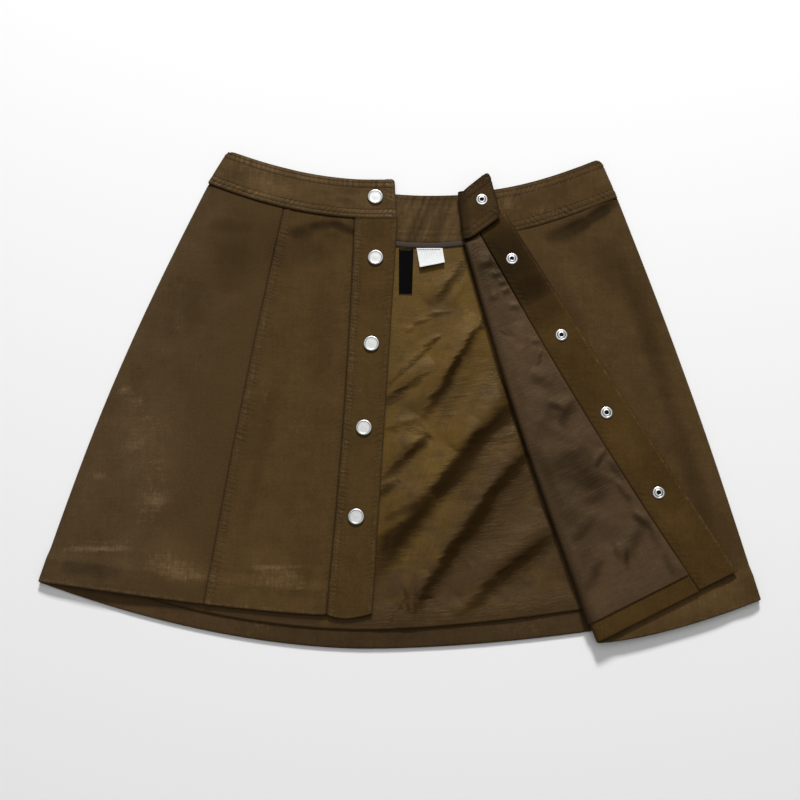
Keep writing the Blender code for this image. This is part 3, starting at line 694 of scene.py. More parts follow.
def rolled(place: Place, plateau: Array, hem_rise: float, from_side: Array, roll: float) -> Array:
    """Height of a front that rises round from its side seam, and steps up over the turned hem.

    Args:
        place: Where its points are.
        plateau: Height of its flat part.
        hem_rise: How far the hem lifts that part.
        from_side: Share of the way from the side seam.
        roll: Share of the way over which it rises.

    Returns:
        Height of each point.
    """
    step = ramp(place.above_hem, HEM + HEM_BLEND, HEM)
    edge = SIDE_MID + SIDE_HEM_RISE * step
    round_part = np.sqrt(1.0 - (1.0 - np.clip(from_side / roll, 0.0, 1.0)) ** 2)
    return edge + (plateau + hem_rise * step - edge) * round_part


def right_height(place: Place, from_side: Array) -> Array:
    """Middle of the right front's suede.

    Args:
        place: Where its points are.
        from_side: Share of the side panel's width from the side seam.

    Returns:
        Height of each point.
    """
    gape = RIGHT_HEM_GAPE * bump_at(place.x, GAPE_X, GAPE_WIDTH) * soft(place.above_hem, GAPE_REACH, 0.0)
    plateau = RIGHT_MID + relief(place.x, place.y, RIGHT_CREASES) + gape
    return rolled(place, plateau, RIGHT_HEM_RISE, from_side, RIGHT_ROLL)


def left_height(place: Place) -> Array:
    """Middle of the left front's lower layer of suede."""
    fold_x = PLAN.fold.x_at(place.fall)
    across = (place.x - fold_x) / (PLAN.left_side.x_at(place.fall) - fold_x)
    valley = VALLEY_DEPTH * bump_at(across, VALLEY_AT, VALLEY_WIDTH) * soft(place.fall, 0.1, 0.25)
    near_fold = LEFT_FOLD_RISE * (1.0 - soft(across, 0.1, 0.55))
    plateau = LEFT_MID + near_fold - valley + relief(place.x, place.y, LEFT_CREASES)
    return rolled(place, plateau, LEFT_HEM_RISE, 1.0 - across, LEFT_ROLL)


def flap_height(place: Place, share: Array) -> Array:
    """Middle of the folded-back suede."""
    near_fold = FLAP_FOLD_RISE * (1.0 - soft(share, 0.0, 0.7))
    return FLAP_MID + near_fold + FLAP_HEM_RISE * soft(place.fall, 0.76, 0.9)


# ------------------------ fine form of sewn suede

HAND = ((0.28, 62.0, 88.0), (0.12, 21.0, 27.0), (0.035, 7.0, 8.0))      # height, across, down, mm


def soft_hand(place: Place, seed: int, amount: float = 1.0) -> Array:
    """Slight unevenness with which a panel of suede lies."""
    return amount * sum(height * uneven(place.x, place.y, across, down, seed + step)
                        for step, (height, across, down) in enumerate(HAND))


@dataclass(frozen=True)
class SewnEdge:
    """Form, wear and painted shade beside a seam or a stitched edge: welts between the rows, and puckers."""

    rows: tuple[float, ...] = ()
    welt: float = 0.3
    groove: float = 0.4
    pucker: float = 0.4
    pitch: float = 6.0
    reach: float = 9.0
    # wear of the welts' crests, partly painted highlight
    wear_and_highlight: float = 0.0
    # strength of the painted shade at the outline, the grooves and the dips
    rim: float = 0.0
    slant: float = 0.35

    def _ripple(self, distance: Array, along: Array, seed: int) -> Array:
        """Puckers beside the edge.

        Args:
            distance: Millimetres from the edge.
            along: Millimetres along it.
            seed: Seed of the puckers.

        Returns:
            Above 0 on their crests, below 0 between them.
        """
        slanted = along + self.slant * distance
        turns = slanted / self.pitch + 0.5 * uneven(slanted, distance, 3.0 * self.pitch, 60.0, seed)
        strength = 0.6 + 0.6 * uneven(slanted, distance, 2.2 * self.pitch, 30.0, seed + 1)
        inside = soft(distance, 0.6, 2.2) * soft(distance, self.reach + 5.0, self.reach)
        return np.sin(2.0 * math.pi * turns) * strength * inside

    def _welts(self, distance: Array) -> Array:
        """How far each point stands on a welt between two rows, from 0 to 1."""
        starts = (0.0, *self.rows[:-1])
        welts = (bump_at(distance, (start + row) / 2, max((row - start) / 2, 0.8))
                 for start, row in zip(starts, self.rows))
        return sum(welts, np.zeros_like(distance))

    def _grooves(self, distance: Array) -> Array:
        """How far each point lies in the groove of a stitch row, from 0 to 1."""
        return sum((bump_at(distance, row, 0.8) for row in self.rows), np.zeros_like(distance))

    def at(self, distance: Array, along: Array, seed: int) -> tuple[Array, Array, Array]:
        """Height, wear and shade that the sewing adds.

        Args:
            distance: Millimetres from the edge.
            along: Millimetres along it.
            seed: Seed of the puckers.

        Returns:
            Millimetres of height, wear of the welts' crests, partly painted highlight, and painted
            shade of the outline, the grooves and the dips.
        """
        ripple = self._ripple(distance, along, seed)
        welts, grooves = self._welts(distance), self._grooves(distance)
        rim = fading(distance, 1.1)
        height = self.welt * welts - self.groove * grooves - 0.5 * rim + self.pucker * ripple
        wear = self.wear_and_highlight * welts * np.clip(0.55 + 0.6 * ripple, 0.0, 1.0)
        lines = np.maximum(1.6 * rim, 0.5 * grooves)
        return height, wear, self.rim * np.maximum(lines, 0.8 * np.clip(-0.9 * ripple, 0.0, 1.0))


def sewn(along: Array, *edges: tuple[SewnEdge, Array, int]) -> tuple[Array, Array, Array]:
    """Height, wear and shade beside edges, each given with the distances from it and a seed."""
    heights, wears, shades = zip(*(edge.at(distance, along, seed) for edge, distance, seed in edges))
    return sum(heights), sum(wears), np.maximum.reduce(shades)


NO_EDGE = SewnEdge((), 0.0, 0.0, 0.0)


def snap_seats(place: Place, snaps: Sequence[Spot], radius: float) -> Array:
    """Hollow that each snap of a radius presses into the suede round it."""
    aways = [np.hypot(place.x - snap.x, place.y - snap.y) for snap in snaps]
    return sum(0.12 * bump_at(away, radius + 3.4, 1.5) - 0.3 * soft(away, radius + 2.2, radius - 0.5)
               for away in aways)


# ------------------------ node trees

class Nodes:
    """Adds and joins the nodes of one material or node group."""

    def __init__(self, tree: NodeTree, groups: dict["Effect", NodeTree] | None = None) -> None:
        """Keeps the tree that the nodes go into, and the shared groups."""
        self.tree = tree
        self.groups = groups or {}

    def add(self, kind: str, inputs: dict | None = None, **settings: object) -> Node:
        """Adds a node.

        Args:
            kind: Its Blender type.
            inputs: Value or source socket for each named or numbered input.
            **settings: Properties of the node.

        Returns:
            The new node.
        """
        node = self.tree.nodes.new(kind)
        for name, value in settings.items():
            setattr(node, name, value)
        self.feed(node, inputs or {})
        return node

    def feed(self, node: Node, inputs: dict) -> None:
        """Sets or joins inputs of a node.

        Args:
            node: The node.
            inputs: Value or source socket for each named or numbered input.
        """
        for key, value in inputs.items():
            socket = node.inputs[key]
            if isinstance(value, Source):
                self.tree.links.new(value, socket)
            elif socket.type == "RGBA":
                socket.default_value = (*value[:3], 1.0)
            else:
                socket.default_value = value

    def group(self, effect: "Effect", **inputs: object) -> Node:
        """Places a shared group."""
        return self.add("ShaderNodeGroup", inputs, node_tree=self.groups[effect])

    def place(self, kind: str) -> Source:
        """Coordinates of the surface."""
        return self.add("ShaderNodeTexCoord").outputs[kind]

    def bump(self, height: Source, strength: float, distance: float, **below: Source) -> Source:
        """Normal that a height tilts."""
        inputs = {"Height": height, "Strength": strength, "Distance": distance, **below}
        return self.add("ShaderNodeBump", inputs).outputs["Normal"]

    def weighted(self, *parts: tuple[object, float]) -> Source:
        """Sum of values, each times its weight."""
        scaled = [self.math("MULTIPLY", value, weight) for value, weight in parts]
        return reduce(lambda first, second: self.math("ADD", first, second), scaled)

    def noise(self, vector: Source, scale: object, detail: float = 3.0,
              roughness: float = 0.55, distortion: float = 0.0) -> Source:
        """Noise over a vector."""
        inputs = {"Vector": vector, "Scale": scale, "Detail": detail, "Roughness": roughness,
                  "Distortion": distortion}
        return self.add("ShaderNodeTexNoise", inputs).outputs["Fac"]

    def stretched(self, vector: Source, scale: tuple[float, float, float],
                  offset: tuple[float, float, float] = (0.0, 0.0, 0.0),
                  turn: float = 0.0) -> Source:
        """Coordinates that are scaled, moved and turned."""
        inputs = {"Vector": vector, "Scale": scale, "Location": offset,
                  "Rotation": (0.0, 0.0, math.radians(turn))}
        return self.add("ShaderNodeMapping", inputs).outputs["Vector"]

    def math(self, operation: str, *values: object) -> Source:
        """One sum of values or sockets."""
        return self.add("ShaderNodeMath", dict(enumerate(values)), operation=operation).outputs["Value"]

    def span(self, value: object, start: float, end: float, low: float = 0.0,
             high: float = 1.0) -> Source:
        """Maps a range of a value to another range."""
        inputs = {"Value": value, "From Min": start, "From Max": end, "To Min": low, "To Max": high}
        return self.add("ShaderNodeMapRange", inputs).outputs["Result"]

    def mix(self, share: object, first: object, second: object) -> Source:
        """Mixes two colours."""
        node = self.add("ShaderNodeMix", {0: share, 6: first, 7: second}, data_type="RGBA")
        return node.outputs[2]

    def shaded(self, colour: object, factor: object) -> Source:
        """Makes a colour lighter or darker by a factor."""
        node = self.add("ShaderNodeVectorMath", {0: colour, "Scale": factor}, operation="SCALE")
        return node.outputs["Vector"]

    def attribute(self, name: str) -> Source:
        """Value of a mesh attribute."""
        return self.add("ShaderNodeAttribute", attribute_name=name).outputs["Fac"]


class Effect(Enum):
    """Shader node groups that several finishes share."""

    NAP = "suede_nap"
    WEAVE = "woven_threads"
    RUBBING = "rubbed_patches"
    CRUMPLE = "fine_crumple"


@dataclass
class Effects:
    """Builds each shared node group once."""

    groups: dict[Effect, NodeTree] = field(default_factory=dict)

    def build(self) -> None:
        """Builds every group."""
        self._nap()
        self._weave()
        self._rubbing()
        self._crumple()

    def _start(self, effect: Effect, outputs: Sequence[str], **amounts: float) -> tuple[Nodes, dict, Node]:
        """Starts a group with a vector and some amounts as its inputs.

        Args:
            effect: Which group.
            outputs: Names of its outputs, all values.
            **amounts: Default of each amount.

        Returns:
            Its node sheet, its input sockets by name, and its output node.
        """
        tree = bpy.data.node_groups.new(effect.value, "ShaderNodeTree")
        tree.interface.new_socket("Vector", in_out="INPUT", socket_type="NodeSocketVector")
        for name, amount in amounts.items():
            socket = tree.interface.new_socket(name, in_out="INPUT", socket_type="NodeSocketFloat")
            socket.default_value = amount
        for name in outputs:
            tree.interface.new_socket(name, in_out="OUTPUT", socket_type="NodeSocketFloat")
        self.groups[effect] = tree
        nodes = Nodes(tree)
        return nodes, nodes.add("NodeGroupInput").outputs, nodes.add("NodeGroupOutput")

    def _nap(self) -> None:
        """Short nap: clouds where it lies one way or the other, brushed streaks and grain."""
        nodes, sockets, out = self._start(Effect.NAP, ("Clouds", "Grain", "Height"), Streaks=0.5)
        vector = sockets["Vector"]
        wide = nodes.noise(vector, 17.0, 4.0, 0.6, 0.6)
        small = nodes.noise(vector, 95.0, 4.0, 0.6)
        warp_way = nodes.noise(nodes.stretched(vector, (420.0, 26.0, 26.0)), 1.0, 3.0, 0.6)
        weft_way = nodes.noise(nodes.stretched(vector, (30.0, 380.0, 30.0)), 1.0, 3.0, 0.6)
        brushed = nodes.math("SUBTRACT", nodes.math("ADD", warp_way, weft_way), 1.0)
        clouds = nodes.span(nodes.weighted((wide, 0.62), (small, 0.38)), 0.3, 0.7)
        clouds = nodes.math("MULTIPLY_ADD", brushed, sockets["Streaks"], clouds)
        fine = nodes.noise(vector, 1500.0, 3.0, 0.7)
        coarse = nodes.noise(vector, 520.0, 3.0, 0.65)
        grain = nodes.weighted((fine, 0.5), (coarse, 0.5))
        height = nodes.math("MULTIPLY_ADD", small, 0.4, grain)
        nodes.feed(out, {"Clouds": clouds, "Grain": grain, "Height": height})

    def _weave(self) -> None:
        """Threads that cross, with thicker ones here and there."""
        nodes, sockets, out = self._start(Effect.WEAVE, ("Height", "Slub"), Threads=900.0, Slubs=60.0)
        apart = nodes.add("ShaderNodeSeparateXYZ", {"Vector": sockets["Vector"]})
        turns = nodes.math("MULTIPLY", sockets["Threads"], 2.0 * math.pi)
        warp = nodes.math("SINE", nodes.math("MULTIPLY", apart.outputs["X"], turns))
        weft = nodes.math("SINE", nodes.math("MULTIPLY", apart.outputs["Y"], turns))
        height = nodes.span(nodes.math("MULTIPLY", warp, weft), -1.0, 1.0)
        down = nodes.noise(nodes.stretched(sockets["Vector"], (9.0, 1.0, 1.0)), sockets["Slubs"], 3.0, 0.6)
        over = nodes.noise(nodes.stretched(sockets["Vector"], (1.0, 7.0, 1.0)), sockets["Slubs"], 3.0, 0.6)
        nodes.feed(out, {"Height": height, "Slub": nodes.weighted((down, 0.6), (over, 0.4))})

    def _rubbing(self) -> None:
        """Breaks a soft mask of wear into a worn, patchy one."""
        nodes, sockets, out = self._start(Effect.RUBBING, ("Mask",), Wear=0.0)
        vector = sockets["Vector"]
        patchy = nodes.noise(vector, 130.0, 6.0, 0.72, 0.3)
        down = nodes.noise(nodes.stretched(vector, (620.0, 90.0, 90.0)), 1.0, 3.0, 0.65)
        over = nodes.noise(nodes.stretched(vector, (80.0, 560.0, 80.0)), 1.0, 3.0, 0.65)
        broken = nodes.span(nodes.math("ADD", nodes.math("ADD", patchy, down), over), 1.1, 1.9, -0.44, 0.44)
        worn = nodes.math("ADD", sockets["Wear"], broken)
        nodes.feed(out, {"Mask": nodes.span(worn, 0.3, 1.25)})

    def _crumple(self) -> None:
        """Short sharp creases that run mostly across the piece, as in pressed satin."""
        nodes, sockets, out = self._start(Effect.CRUMPLE, ("Height",), Amount=0.0)
        across = nodes.stretched(sockets["Vector"], (60.0, 340.0, 60.0), turn=4.0)
        feather = nodes.noise(across, 1.0, 3.0, 0.6, 0.5)
        crisp = nodes.noise(sockets["Vector"], 110.0, 4.0, 0.55, 0.9)
        ridged = nodes.math("ABSOLUTE", nodes.math("SUBTRACT", crisp, 0.5))
        feathers = nodes.math("MULTIPLY", feather, sockets["Amount"])
        nodes.feed(out, {"Height": nodes.math("MULTIPLY_ADD", ridged, 0.55, feathers)})


# ------------------------ finishes

Colour = tuple[float, float, float]


@dataclass(frozen=True)
class Finish:
    """What every finish has: a name and the record's slot."""

    name: str
    slot: str

    def made(self, effects: Effects) -> bpy.types.Material:
        """Makes the material.

        Args:
            effects: The shared groups.

        Returns:
            The material.
        """
        material = bpy.data.materials.new(self.name)
        material.use_nodes = True
        nodes = Nodes(material.node_tree, effects.groups)
        nodes.feed(material.node_tree.nodes["Principled BSDF"], self.surface(nodes))
        return material

    def surface(self, nodes: Nodes) -> dict:
        """Inputs of the Principled shader, which each kind of finish works out in its own way."""
        raise NotImplementedError(self.name)


@dataclass(frozen=True)
class SuedeFinish(Finish):
    """Suede with a short matt nap, paler where it is rubbed."""

    deep: Colour = (0.054, 0.0325, 0.0135)
    pale: Colour = (0.083, 0.051, 0.0225)
    dusty: Colour = (0.142, 0.090, 0.043)
    warm: Colour = (0.0640, 0.0365, 0.0122)
    streaks: float = 0.5
    offset: tuple[float, float, float] = (0.0, 0.0, 0.0)

    def surface(self, nodes: Nodes) -> dict:
        """Nap, wear, warmth, and painted light and shade.

        Args:
            nodes: The material's node sheet.

        Returns:
            Inputs of the Principled shader.
        """
        moved = nodes.stretched(nodes.place("Object"), (1.0, 1.0, 1.0), self.offset)
        nap = nodes.group(Effect.NAP, Vector=moved, Streaks=self.streaks).outputs
        rubbed = nodes.group(Effect.RUBBING, Vector=moved, Wear=nodes.attribute("wear")).outputs["Mask"]
        colour = nodes.mix(nap["Clouds"], self.deep, self.pale)
        colour = nodes.mix(nodes.attribute("warmth"), colour, self.warm)
        colour = nodes.mix(rubbed, colour, self.dusty)
        colour = nodes.shaded(colour, nodes.span(nap["Grain"], 0.3, 0.7, 0.78, 1.22))
        # painted shade darkens the colour, painted light below 0 makes it paler
        colour = nodes.shaded(colour, nodes.span(nodes.attribute("shade"), -1.0, 2.0, 1.5, 0.0))
        return {"Base Color": colour, "Roughness": nodes.span(rubbed, 0.0, 1.0, 0.93, 0.8),
                "Normal": nodes.bump(nap["Height"], 0.55, 0.00035), "Specular IOR Level": 0.06,
                "Sheen Weight": 0.05, "Sheen Roughness": 0.45, "Sheen Tint": (0.8, 0.55, 0.32)}


@dataclass(frozen=True)
class SatinFinish(Finish):
    """Woven satin lining: golden where a painted sheen lies on it, duller and browner elsewhere."""

    gold: Colour = (0.098, 0.0555, 0.0115)
    dull: Colour = (0.050, 0.0285, 0.0122)
    shadow: Colour = (0.0190, 0.0086, 0.0014)
    crumple: float = 0.12
    roughness: float = 0.46
    offset: tuple[float, float, float] = (0.0, 0.0, 0.0)

    def surface(self, nodes: Nodes) -> dict:
        """Weave, crumple, painted sheen that gives way to dull places, and painted shade on fold sides.

        Args:
            nodes: The material's node sheet.

        Returns:
            Inputs of the Principled shader.
        """
        unrolled = nodes.stretched(nodes.place("UV"), (1.0, 1.0, 1.0), self.offset)
        weave = nodes.group(Effect.WEAVE, Vector=unrolled, Threads=2600.0, Slubs=48.0).outputs
        amount = nodes.math("MULTIPLY_ADD", nodes.attribute("feather"), 0.6, self.crumple)
        crumple = nodes.group(Effect.CRUMPLE, Vector=unrolled, Amount=amount).outputs["Height"]
        patches = nodes.noise(nodes.place("Object"), 38.0, 4.0, 0.6, 0.5)
        dullness = nodes.math("ADD", nodes.attribute("dull"), nodes.span(patches, 0.3, 0.7, -0.4, 0.5))
        dullness = nodes.math("MAXIMUM", nodes.math("MINIMUM", dullness, 1.0), 0.0)
        colour = nodes.mix(dullness, self.gold, self.dull)
        colour = nodes.shaded(colour, nodes.span(weave["Slub"], 0.3, 0.7, 0.86, 1.14))
        colour = nodes.mix(nodes.attribute("shade"), colour, self.shadow)
        fine = nodes.bump(weave["Height"], 0.25, 0.00008)
        rough = nodes.span(weave["Slub"], 0.3, 0.7, self.roughness - 0.05, self.roughness + 0.05)
        return {"Base Color": colour, "Roughness": rough,
                "Normal": nodes.bump(crumple, 0.7, 0.0014, Normal=fine), "Specular IOR Level": 0.18,
                "Specular Tint": (1.0, 0.7, 0.36), "Sheen Weight": 0.05, "Sheen Roughness": 0.4,
                "Sheen Tint": (1.0, 0.8, 0.55)}


@dataclass(frozen=True)
class RibbonFinish(Finish):
    """Narrow woven ribbon, as in binding tape and labels."""

    colour: Colour = (0.06, 0.045, 0.03)
    faded: Colour = (0.085, 0.066, 0.046)
    threads: float = 1100.0
    roughness: float = 0.75
    gloss: float = 0.15

    def surface(self, nodes: Nodes) -> dict:
        """Coarse weave, faded here and there.

        Args:
            nodes: The material's node sheet.

        Returns:
            Inputs of the Principled shader.
        """
        weave = nodes.group(Effect.WEAVE, Vector=nodes.place("UV"), Threads=self.threads, Slubs=120.0).outputs
        colour = nodes.mix(nodes.span(weave["Slub"], 0.3, 0.7), self.colour, self.faded)
        colour = nodes.shaded(colour, nodes.span(weave["Height"], 0.0, 1.0, 0.85, 1.1))
        colour = nodes.shaded(colour, nodes.span(nodes.attribute("shade"), 0.0, 1.0, 1.0, 0.55))
        return {"Base Color": colour, "Normal": nodes.bump(weave["Height"], 0.6, 0.00015),
                "Roughness": self.roughness, "Specular IOR Level": self.gloss}


@dataclass(frozen=True)
class ThreadFinish(Finish):
    """Sewing thread dyed to match the suede."""

    colour: Colour = (0.072, 0.042, 0.015)

    def surface(self, nodes: Nodes) -> dict:
        """Uneven dye and twist.

        Args:
            nodes: The material's node sheet.

        Returns:
            Inputs of the Principled shader.
        """
        place = nodes.place("Object")
        dye = nodes.span(nodes.noise(place, 260.0, 2.0), 0.3, 0.7, 0.75, 1.3)
        twist = nodes.noise(nodes.stretched(place, (2600.0, 2600.0, 2600.0), turn=35.0), 1.0, 2.0)
        return {"Base Color": nodes.shaded(self.colour, dye), "Normal": nodes.bump(twist, 0.4, 0.0001),
                "Roughness": 0.6, "Specular IOR Level": 0.3}


@dataclass(frozen=True)
class SnapFinish(Finish):
    """Silver-coloured plate, brushed and lightly worn."""

    colour: Colour = (0.62, 0.62, 0.61)
    tarnish: Colour = (0.33, 0.34, 0.34)
    # painted shade in the grooves and the stud's middle hole
    hollow_shade: Colour = (0.012, 0.012, 0.013)
    roughness: float = 0.34

    def surface(self, nodes: Nodes) -> dict:
        """Brushed scratches, tarnish, and painted shade in the hollows.

        Args:
            nodes: The material's node sheet.

        Returns:
            Inputs of the Principled shader.
        """
        place = nodes.place("Object")
        scratches = nodes.noise(nodes.stretched(place, (300.0, 3200.0, 900.0), turn=24.0), 1.0, 4.0, 0.7)
        worn = nodes.weighted((scratches, 0.55), (nodes.noise(place, 420.0, 4.0, 0.6), 0.45))
        colour = nodes.mix(nodes.span(worn, 0.48, 0.66, 0.0, 0.55), self.colour, self.tarnish)
        colour = nodes.mix(nodes.attribute("hollow"), colour, self.hollow_shade)
        rough = nodes.span(worn, 0.35, 0.65, self.roughness - 0.08, self.roughness + 0.14)
        return {"Base Color": colour, "Roughness": rough, "Metallic": 1.0,
                "Normal": nodes.bump(scratches, 0.25, 0.0001)}


# One suede in copies, lighter or darker region by region: partly the pieces' own tone, partly painted light
# and shade
FRONT_SUEDE = SuedeFinish("front_suede", "suede")
CENTRE_SUEDE = SuedeFinish("centre_suede", "suede", (0.056, 0.0315, 0.0100), (0.085, 0.049, 0.0175),
                           offset=(0.31, 0.12, 0.0))
PLACKET_SUEDE = SuedeFinish("placket_suede", "suede", (0.054, 0.030, 0.0090), (0.079, 0.045, 0.0142),
                            offset=(0.07, 0.43, 0.0))
BAND_SUEDE = SuedeFinish("waistband_suede", "suede", (0.058, 0.0335, 0.0115), (0.104, 0.063, 0.0260),
                         offset=(0.53, 0.02, 0.0))
INNER_BAND_SUEDE = SuedeFinish("inner_waistband_suede", "suede", (0.056, 0.033, 0.0120),
                               (0.092, 0.056, 0.0235), streaks=0.8, offset=(0.23, 0.61, 0.0))
LEFT_BAND_SUEDE = SuedeFinish("left_waistband_suede", "suede", (0.051, 0.0285, 0.0096),
                              (0.086, 0.0500, 0.0190), offset=(0.83, 0.15, 0.0))
LEFT_SUEDE = SuedeFinish("left_suede", "suede", (0.050, 0.0285, 0.0098), (0.080, 0.0465, 0.0172),
                         offset=(0.41, 0.29, 0.0))
FACING_SUEDE = SuedeFinish("facing_suede", "suede", (0.047, 0.0250, 0.0062), (0.069, 0.0380, 0.0104),
                           offset=(0.19, 0.77, 0.0))
BACK_SUEDE = SuedeFinish("back_suede", "suede", (0.044, 0.0255, 0.0105), (0.067, 0.0395, 0.0170),
                         offset=(0.67, 0.37, 0.0))
BACK_SATIN = SatinFinish("back_satin", "satin_lining")
# A darker copy of the same satin: painted shade for the flap's lining, which catches less sheen
FLAP_SATIN = SatinFinish("flap_satin", "satin_lining", (0.065, 0.0375, 0.0190), (0.051, 0.0300, 0.0160),
                         (0.016, 0.0094, 0.0040), crumple=0.25, roughness=0.5, offset=(0.37, 0.21, 0.0))
TAPE_RIBBON = RibbonFinish("tape_ribbon", "binding_tape", (0.042, 0.030, 0.021), (0.064, 0.049, 0.036))
DARK_RIBBON = RibbonFinish("dark_ribbon", "dark_label", (0.0014, 0.0014, 0.0016), (0.0036, 0.0036, 0.0040),
                           gloss=0.02)
PALE_RIBBON = RibbonFinish("pale_ribbon", "pale_label", (0.66, 0.68, 0.68), (0.86, 0.87, 0.86),
                           threads=1500.0, roughness=0.55)
THREAD = ThreadFinish("matched_thread", "suede")
PLATE = SnapFinish("snap_plate", "snap_metal")


@dataclass
class Wardrobe:
    """Makes each material once and gives it to pieces."""

    effects: Effects
    materials: dict[str, bpy.types.Material] = field(default_factory=dict)

    def dress(self, piece: Object, finish: Finish) -> None:
        """Gives a piece its material.

        Args:
            piece: The piece.
            finish: Its finish.
        """
        if finish.name not in self.materials:
            self.materials[finish.name] = finish.made(self.effects)
        piece.data.materials.clear()
        piece.data.materials.append(self.materials[finish.name])


# ------------------------ making pieces

def deselect() -> None:
    """Deselects everything, so that an operator acts on the new piece alone."""
    for item in bpy.context.selected_objects:
        item.select_set(False)


def adopt(name: str) -> Object:
    """Names the object that an operator has just made.

    Args:
        name: Its new name.

    Returns:
        The object.
    """
    piece = bpy.context.object
    piece.name = name
    piece.data.name = name
    return piece


def apply_modifier(piece: Object, kind: str, **settings: object) -> None:
    """Adds a modifier to a piece and applies it.

    Args:
        piece: The piece.
        kind: Blender type of the modifier.
        **settings: Its properties.
    """
    deselect()
    piece.select_set(True)
    bpy.context.view_layer.objects.active = piece
    modifier = piece.modifiers.new(kind.lower(), kind)
    for name, value in settings.items():
        setattr(modifier, name, value)
    bpy.ops.object.modifier_apply(modifier=modifier.name)


def lengths_along(points: Array, axis: int) -> Array:
    """Running length along the rows of a grid (axis 1), or down its columns (axis 0)."""
    step = np.linalg.norm(np.diff(points, axis=axis), axis=-1)
    return np.cumsum(np.insert(step, 0, 0.0, axis=axis), axis=axis)


@dataclass
class ClothPiece:
    """One cut piece of cloth as a thin shell on a grid of points."""

    node: str
    stuff: str
    points: Array
    wall: float
    rests_on: Sequence[str]
    held: str = "laid"
    edge: float = 0.3
    anchor: int = 0
    masks: dict[str, Array] = field(default_factory=dict)

    def made(self) -> Object:
        """Returns:
            The piece.
        """
        rows, columns = self.points.shape[:2]
        deselect()
        bpy.ops.mesh.primitive_grid_add(x_subdivisions=columns - 1, y_subdivisions=rows - 1)
        piece = adopt(f"{self.node}_{self.stuff}")
        mesh = piece.data
        mesh.vertices.foreach_set("co", (self.points[::-1] * MM).ravel())
        across = lengths_along(self.points, axis=1)
        across = across - across[:, self.anchor:self.anchor + 1]
        down = lengths_along(self.points, axis=0).mean(axis=1, keepdims=True) + np.zeros_like(across)
        unrolled = np.stack((across, -down), axis=-1)[::-1].reshape(-1, 2) * MM
        corners = np.empty(len(mesh.loops), dtype=int)
        mesh.loops.foreach_get("vertex_index", corners)
        mesh.uv_layers.active.data.foreach_set("uv", unrolled[corners].ravel())
        for name, mask in self.masks.items():
            values = mesh.attributes.new(name, "FLOAT", "POINT").data
            values.foreach_set("value", (mask + np.zeros_like(across))[::-1].ravel().astype(np.float32))
        mesh.update()
        apply_modifier(piece, "SOLIDIFY", thickness=self.wall * MM, offset=0.0)
        apply_modifier(piece, "BEVEL", width=self.edge * MM, segments=2, limit_method="ANGLE",
                       angle_limit=math.radians(60.0))
        bpy.ops.object.shade_smooth_by_angle(angle=math.radians(50.0))
        self._declare(piece)
        return piece

    def _declare(self, piece: Object) -> None:
        """Attaches the piece to the root body and hides the CAD node that it stands for.

        Args:
            piece: The piece.
        """
        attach(piece, ROOT)
        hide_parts(self.node)


@dataclass
class Assembly:
    """A sub-assembly: its pieces by name, and the finish of each one."""

    pieces: dict[str, Object] = field(default_factory=dict)
    finishes: ClassVar[dict[str, Finish]] = {}
    finish: ClassVar[Finish | None] = None      # of the pieces that aren't in that list

    def build(self) -> None:
        """Builds the pieces."""
        raise NotImplementedError(type(self).__name__)

    def dress(self, wardrobe: Wardrobe) -> None:
        """Gives each piece its finish."""
        for name, piece in self.pieces.items():
            wardrobe.dress(piece, self.finishes.get(name, self.finish))


# ------------------------ the back

